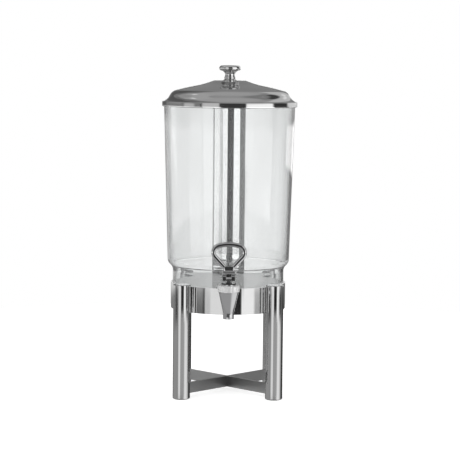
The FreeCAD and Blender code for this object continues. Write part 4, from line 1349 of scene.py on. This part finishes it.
@dataclass
class Lever:
    """The loop lever: a bent rod on a stem, a half-round bar and two ears about the pin. Millimetres."""

    pin: tuple[float, float] = (-144.5, 232.0)
    eye: float = 2.06
    ear_width: float = 9.4
    ear_gap: float = 4.8
    gap_front: float = 1.5
    boss: float = 3.8
    toe: float = 2.6
    toe_round: float = 0.8
    finger: float = 1.5
    finger_reach: float = 4.5
    web: float = 1.0
    bar_foot: float = 6.3
    bar_top: float = 13.5
    bar_width: float = 23.3
    bar_depth: float = 12.0
    bar_edge: float = 0.8
    stem_width: float = 17.0
    stem_depth: float = 8.5
    stem_top: float = 20.7
    stem_edge: float = 0.9
    rod: float = 8.5
    loop_width: float = 64.0
    loop_top: float = 64.0
    crown_arc: float = 65.3
    corner_arc: float = 12.5
    foot: tuple[float, float] = (5.3, 16.0)
    land: float = 3.2

    def route(self) -> list[Corner]:
        """The loop's middle line: leg, corner, crown, corner and leg, each tangent to the next.

        Returns:
            The line as (across, height) about the pin.
        """
        top = self.loop_top - self.rod / 2
        reach = self.loop_width / 2 - self.rod / 2 - self.corner_arc
        rise = math.sqrt((self.crown_arc - self.corner_arc) ** 2 - reach**2)
        corner = Vector((reach, top - self.crown_arc + rise))
        leg = corner - Vector(self.foot)
        join = math.atan2(rise, reach)
        leave = math.atan2(leg.y, leg.x) - math.asin(self.corner_arc / leg.length) - math.pi / 2
        low = corner + Vector((math.cos(leave), math.sin(leave))) * self.corner_arc
        high = corner + Vector((math.cos(join), math.sin(join))) * self.corner_arc
        return [
            self.foot,
            (low.x, low.y),
            Bend(high.x, high.y, self.corner_arc),
            Bend(-high.x, high.y, self.crown_arc),
            Bend(-low.x, low.y, self.corner_arc),
            (-self.foot[0], self.foot[1]),
        ]

    def ears(self) -> list[Corner]:
        """The side view of the ears about the pin: boss, finger behind, toe in front and web up to the bar.

        Returns:
            The outline as (depth, height), which ends a little way up inside the bar.
        """
        boss = self.boss
        finger = self.finger
        root = math.sqrt(boss**2 - finger**2)
        tip = self.finger_reach
        shank = self.bar_foot + JUST_PAST
        return [
            (-boss, shank),
            (-boss, self.toe_round - self.toe),
            Bend(self.toe_round - boss, -self.toe, self.toe_round),
            (-math.sqrt(boss**2 - self.toe**2), -self.toe),
            Bend(root, -finger, boss),
            (tip, -finger),
            Bend(tip + finger, 0, finger),
            Bend(tip, finger, finger),
            (root, finger),
            Bend(self.web, math.sqrt(boss**2 - self.web**2), boss),
            (self.web, shank),
        ]

    def bar(self) -> list[Corner]:
        """The side view of the bar about the pin: flat above and below, half round in front and behind.

        Returns:
            The outline as (depth, height).
        """
        half_round = (self.bar_top - self.bar_foot) / 2
        flat = self.bar_depth / 2 - half_round
        middle = self.bar_foot + half_round
        return [
            (flat, self.bar_foot),
            Bend(flat + half_round, middle, half_round),
            Bend(flat, self.bar_top, half_round),
            (-flat, self.bar_top),
            Bend(-flat - half_round, middle, half_round),
            Bend(-flat, self.bar_foot, half_round),
        ]

    def build(self) -> None:
        """Makes and dresses the lever."""
        pin = Vector((0, *self.pin)) * MM
        piece = slab("lever_ears", self.ears(), self.ear_width, pin)
        half = self.ear_gap / 2
        low = pin + Vector((-half, -self.gap_front, -WELL_PAST)) * MM
        high = pin + Vector((half, WELL_PAST, self.bar_foot)) * MM
        combine(piece, block("ear_gap", low, high))
        eye = rod_outline(self.eye, -WELL_PAST, WELL_PAST)
        combine(piece, turn("lever_eye", eye, Facets.BORE, pin, Axis.ACROSS))
        cross = slab("lever_bar", self.bar(), self.bar_width, pin)
        soften(cross, self.bar_edge, steps=3)
        combine(piece, cross, "UNION")
        size = Vector((self.stem_width, self.stem_depth, 0)) / 2
        low = pin + (Vector((0, 0, self.bar_foot + JUST_PAST)) - size) * MM
        high = pin + (Vector((0, 0, self.stem_top)) + size) * MM
        stem = block("lever_stem", low, high)
        soften(stem, self.stem_edge, steps=3)
        combine(piece, stem, "UNION")
        combine(piece, bent_rod("lever_loop", self.route(), self.rod / 2, self.land, pin), "UNION")
        dress(piece, CHROME.material(), Slot.CHROME, Body.LEVER, "lever")


@dataclass(frozen=True)
class Card:
    """A board or lamp of the studio, as the metal sees it: bearings in degrees from the front, heights too.

    The edge is how softly its sides fade, and fade how softly its top and foot do; 0 is as the sides.
    """

    left: float
    right: float
    low: float
    high: float
    light: float
    edge: float = 3.0
    fade: float = 0.0


@dataclass
class Studio:
    """Camera, floor, lamp and surroundings. Metres and degrees."""

    focal_mm: float = 140.87
    sensor_mm: float = 36.0
    distance: float = 3.350
    height: float = 0.6276
    pitch_deg: float = 5.521
    roll_deg: float = 0.55
    bearing_deg: float = -0.6
    aside: float = 0.0028
    floor_radius: float = 1.2
    floor_colour: str = "#E6E6E6"
    floor_glow: float = 0.5
    lamp_place: tuple[float, float, float] = (-0.6, -0.9, 2.2)
    lamp_lean: tuple[float, float, float] = (-0.6, -0.9, 1.9)
    lamp_size: float = 1.8
    lamp_watts: float = 16.0
    cards: tuple[Card, ...] = (
        # High up: pale wall on the left, dark one on the right and a bright board behind it
        Card(-130.0, -52.0, 34.0, 66.0, 0.5, 10.0),
        Card(-128.0, -92.0, 4.0, 40.0, 0.4, 8.0),
        Card(-172.0, -128.0, 26.0, 57.0, 0.22, 8.0),
        Card(-171.0, -142.0, 10.0, 42.0, 0.12, 6.0),
        Card(-110.0, -98.0, 46.5, 54.0, 1.0, 3.0),
        Card(122.0, 162.0, 6.0, 48.0, 0.66, 5.0),
        Card(134.0, 147.0, 17.0, 28.0, 0.98, 4.0),
        Card(38.0, 119.0, 35.0, 57.0, 0.27, 36.0, 6.0),
        Card(96.0, 122.0, 28.0, 46.0, 0.06, 12.0, 6.0),
        # Backdrop that shows in the caps of the back posts
        Card(164.0, 180.0, 1.0, 7.08, 1.2, 3.0, 0.15),
        Card(-180.0, -164.0, 1.0, 7.08, 1.2, 3.0, 0.15),
        Card(164.0, 180.0, 7.08, 13.0, 0.2, 3.0, 0.15),
        Card(-180.0, -164.0, 7.08, 13.0, 0.2, 3.0, 0.15),
        # Floor: brighter towards the right lamp, dark in front of the tap
        Card(40.0, 128.0, -62.0, -17.0, 0.92, 40.0, 8.0),
        Card(-34.0, 34.0, -20.0, -13.6, 0.1, 6.0, 1.0),
        Card(-50.0, 70.0, -80.0, -48.0, 0.13, 8.0),
        # Level with the lid's rim
        Card(-84.0, -63.0, -2.1, 8.0, 0.66, 5.0),
        Card(-52.0, -49.5, -2.1, 8.0, 0.06, 1.5),
        Card(-47.5, -18.0, -2.1, 34.0, 0.72, 2.0),
        Card(-18.0, 28.0, -2.1, 42.0, 0.05, 2.0),
        Card(28.0, 80.0, -2.1, 41.0, 1.0, 2.0),
        Card(28.0, 77.0, -2.1, 8.0, 1.42, 2.0),
        Card(79.0, 114.0, -2.1, 30.0, 0.04, 3.0),
        Card(116.0, 164.0, -2.1, 8.0, 0.9, 5.0),
        Card(-168.0, -138.0, -2.1, 8.0, 0.13, 6.0),
        # Level with the ice tube
        Card(-166.0, -49.0, -7.25, -2.1, 1.75, 1.0),
        Card(-166.0, -130.0, -7.25, -2.1, 0.6, 4.0, 1.0),
        Card(-74.0, -49.0, -7.25, -2.1, 1.22, 1.0),
        Card(-47.5, -12.0, -7.25, -2.1, 2.15, 1.0),
        Card(26.5, 82.0, -7.25, -2.1, 2.3, 1.0),
        Card(-16.0, 26.5, -5.2, -2.1, 0.04, 1.0),
        Card(-13.0, 32.0, -7.25, -4.6, 0.04, 1.0),
        Card(84.0, 133.0, -7.25, -2.1, 0.36, 1.0),
        Card(133.0, 166.0, -7.25, -2.1, 0.3, 4.0, 1.0),
        Card(122.0, 168.0, -3.9, -2.1, 2.4, 1.0, 0.4),
        Card(166.0, 180.0, -7.25, -2.1, 0.25, 1.0),
        Card(-180.0, -166.0, -7.25, -2.1, 0.25, 1.0),
        # Level with the band
        Card(-104.0, -46.0, -9.0, -7.25, 0.2, 2.0, 1.0),
        Card(-84.0, -66.0, -9.0, -7.25, 0.06, 4.0, 1.0),
        Card(-52.0, -49.5, -9.0, -7.25, 0.05, 1.5, 1.0),
        Card(-47.0, -10.0, -13.4, -7.25, 0.75, 1.0),
        Card(-36.0, -10.0, -13.4, -7.25, 1.02, 5.0, 1.0),
        Card(27.0, 80.0, -18.0, -7.25, 1.25, 1.0),
        Card(54.0, 66.0, -9.0, -7.25, 0.55, 7.0, 1.0),
        Card(65.0, 96.0, -9.0, -7.25, 0.07, 4.0, 1.0),
        Card(-10.0, 25.2, -8.75, -7.25, 0.02, 1.0, 0.3),
        # Level with the posts
        Card(-125.0, -54.0, -18.0, -9.2, 0.38, 6.0, 1.0),
        Card(-15.0, 27.0, -13.4, -8.75, 0.46, 1.0, 0.3),
        Card(27.0, 40.0, -13.4, -9.0, 0.5, 4.0, 0.6),
        Card(41.0, 76.0, -13.4, -9.0, 1.05, 4.0, 0.6),
        Card(76.0, 92.0, -18.0, -9.0, 0.72, 4.0, 1.0),
        Card(92.0, 103.0, -18.0, -8.6, 0.45, 4.0, 1.0),
        Card(103.0, 180.0, -18.0, -7.25, 0.06, 2.5),
    )
    wall_light: float = 0.27
    ceiling_light: float = 0.47
    floor_light: float = 0.42
    matt_light: float = 0.85
    wall_heights: tuple[float, float] = (25.0, 75.0)
    floor_heights: tuple[float, float] = (-22.0, -14.0)

    def camera(self) -> None:
        """Sets the camera where the photograph was taken from."""
        deselect()
        bpy.ops.object.camera_add()
        camera = bpy.context.object
        camera.name = "photo_camera"
        camera.data.lens = self.focal_mm
        camera.data.sensor_width = self.sensor_mm
        bearing = Matrix.Rotation(math.radians(self.bearing_deg), 4, "Z")
        stand = Matrix.Translation((self.aside, -self.distance, self.height))
        tilt = Matrix.Rotation(math.radians(90.0 - self.pitch_deg), 4, "X")
        roll = Matrix.Rotation(math.radians(self.roll_deg), 4, "Z")
        camera.matrix_world = bearing @ stand @ tilt @ roll
        bpy.context.scene.camera = camera

    def floor(self) -> None:
        """A pale floor that keeps the object's shadow, and that mirrored rays pass through."""
        deselect()
        rim = Facets.POST.value
        bpy.ops.mesh.primitive_circle_add(vertices=rim, radius=self.floor_radius, fill_type="NGON")
        floor = bpy.context.object
        floor.name = "floor"
        material, tree, shader = new_material("pale_floor")
        tree.nodes.remove(shader)
        matt = add_node(tree, "ShaderNodeBsdfDiffuse", {"Color": linear(self.floor_colour)}).outputs[0]
        glow = add_node(tree, "ShaderNodeEmission", {"Strength": self.floor_glow}).outputs[0]
        both = add_node(tree, "ShaderNodeAddShader", {0: matt, 1: glow}).outputs[0]
        bounces = add_node(tree, "ShaderNodeLightPath").outputs["Glossy Depth"]
        depth = {0: bounces, 1: BOUNCED}
        mirrored = add_node(tree, "ShaderNodeMath", depth, operation="GREATER_THAN").outputs[0]
        gone = add_node(tree, "ShaderNodeBsdfTransparent").outputs[0]
        seen = add_node(tree, "ShaderNodeMixShader", {0: mirrored, 1: both, 2: gone})
        tree.links.new(seen.outputs[0], tree.nodes["Material Output"].inputs["Surface"])
        floor.data.materials.append(material)

    def lamp(self) -> None:
        """A large soft lamp overhead; metal doesn't show it."""
        deselect()
        bpy.ops.object.light_add(type="AREA", location=self.lamp_place)
        lamp = bpy.context.object
        lamp.name = "overhead_softbox"
        lamp.data.shape = "DISK"
        lamp.data.size = self.lamp_size
        lamp.data.energy = self.lamp_watts
        lamp.rotation_euler = Vector(self.lamp_lean).to_track_quat("Z", "Y").to_euler()
        lamp.visible_glossy = False

    def mask(
        self, tree: bpy.types.NodeTree, value: bpy.types.NodeSocket, low: float, high: float, edge: float
    ) -> bpy.types.NodeSocket:
        """A mask that is 1 where a bearing or height lies between two limits, with soft edges.

        Args:
            tree: the world's tree.
            value: the bearing or height in degrees.
            low: where the mask rises.
            high: where it falls.
            edge: how wide each soft edge is.

        Returns:
            The mask's output.
        """
        half = edge / 2
        rise = {"Value": value, "From Min": low - half, "From Max": low + half}
        fall = {"Value": value, "From Min": high - half, "From Max": high + half}
        fall |= {"To Min": 1.0, "To Max": 0.0}
        up = add_node(tree, "ShaderNodeMapRange", rise, interpolation_type="SMOOTHSTEP").outputs[0]
        down = add_node(tree, "ShaderNodeMapRange", fall, interpolation_type="SMOOTHSTEP").outputs[0]
        return add_node(tree, "ShaderNodeMath", {0: up, 1: down}, operation="MULTIPLY").outputs[0]

    def bearings(self, tree: bpy.types.NodeTree) -> tuple[bpy.types.NodeSocket, bpy.types.NodeSocket]:
        """Where a ray that leaves the object goes.

        Args:
            tree: the world's tree.

        Returns:
            Its bearing from the front and its height, in degrees.
        """
        way = add_node(tree, "ShaderNodeTexCoord").outputs["Generated"]
        parts = add_node(tree, "ShaderNodeSeparateXYZ", {0: way}).outputs
        ahead = add_node(tree, "ShaderNodeMath", {0: parts["Y"], 1: -1.0}, operation="MULTIPLY").outputs[0]
        around = add_node(tree, "ShaderNodeMath", {0: parts["X"], 1: ahead}, operation="ARCTAN2").outputs[0]
        above = add_node(tree, "ShaderNodeMath", {0: parts["Z"]}, operation="ARCSINE").outputs[0]
        bearing = add_node(tree, "ShaderNodeMath", {0: around}, operation="DEGREES").outputs[0]
        height = add_node(tree, "ShaderNodeMath", {0: above}, operation="DEGREES").outputs[0]
        return bearing, height

    def room(self, tree: bpy.types.NodeTree) -> bpy.types.NodeSocket:
        """The grey room with its boards: walls that brighten upwards, the floor, and one card over the other.

        Args:
            tree: the world's tree.

        Returns:
            The light that comes from each bearing and height.
        """
        bearing, height = self.bearings(tree)
        climb = {
            "Value": height,
            "From Min": self.wall_heights[0],
            "From Max": self.wall_heights[1],
            "To Min": self.wall_light,
            "To Max": self.ceiling_light,
        }
        walls = add_node(tree, "ShaderNodeMapRange", climb, interpolation_type="SMOOTHSTEP").outputs[0]
        sink = {
            "Value": height,
            "From Min": self.floor_heights[0],
            "From Max": self.floor_heights[1],
            "To Min": 1.0,
            "To Max": 0.0,
        }
        under = add_node(tree, "ShaderNodeMapRange", sink).outputs[0]
        layers = {"Factor": under, "A": walls, "B": self.floor_light}
        light = add_node(tree, "ShaderNodeMix", layers, data_type="FLOAT").outputs[0]
        for card in self.cards:
            across = self.mask(tree, bearing, card.left, card.right, card.edge)
            upright = self.mask(tree, height, card.low, card.high, card.fade or card.edge)
            cover = add_node(tree, "ShaderNodeMath", {0: across, 1: upright}, operation="MULTIPLY").outputs[0]
            layers = {"Factor": cover, "A": light, "B": card.light}
            light = add_node(tree, "ShaderNodeMix", layers, data_type="FLOAT").outputs[0]
        return light

    def surroundings(self) -> None:
        """White to the camera, pale to matt surfaces; to metal and clear plastic the room with its boards."""
        world = bpy.data.worlds.new("studio")
        world.use_nodes = True
        bpy.context.scene.world = world
        tree = world.node_tree
        tree.nodes.clear()
        path = add_node(tree, "ShaderNodeLightPath").outputs
        mirrored, spread = (
            add_node(tree, "ShaderNodeMath", {0: path[kind], 1: BOUNCED}, operation="GREATER_THAN").outputs[0]
            for kind in ("Glossy Depth", "Diffuse Depth")
        )
        light = self.room(tree)
        room, plain, white = (
            add_node(tree, "ShaderNodeBackground", {"Color": WHITE_LIGHT, "Strength": strength}).outputs[0]
            for strength in (light, self.matt_light, 1.0)
        )
        seen = add_node(tree, "ShaderNodeMixShader", {0: mirrored, 1: white, 2: room}).outputs[0]
        whole = add_node(tree, "ShaderNodeMixShader", {0: spread, 1: seen, 2: plain}).outputs[0]
        add_node(tree, "ShaderNodeOutputWorld", {"Surface": whole})

    def build(self) -> None:
        """Sets the camera, floor, lamp, surroundings and view."""
        self.camera()
        self.floor()
        self.lamp()
        self.surroundings()
        bpy.context.scene.view_settings.view_transform = "Standard"
        LOG.info("studio: %d cards", len(self.cards))


def main() -> None:
    """Builds the dispenser and its studio."""
    logging.basicConfig(level=logging.INFO, format="%(message)s")
    for assembly in (Stand(), Vessel(), IceTube(), Lid(), Tap(), Studio()):
        assembly.build()


if __name__ == "__main__":
    main()
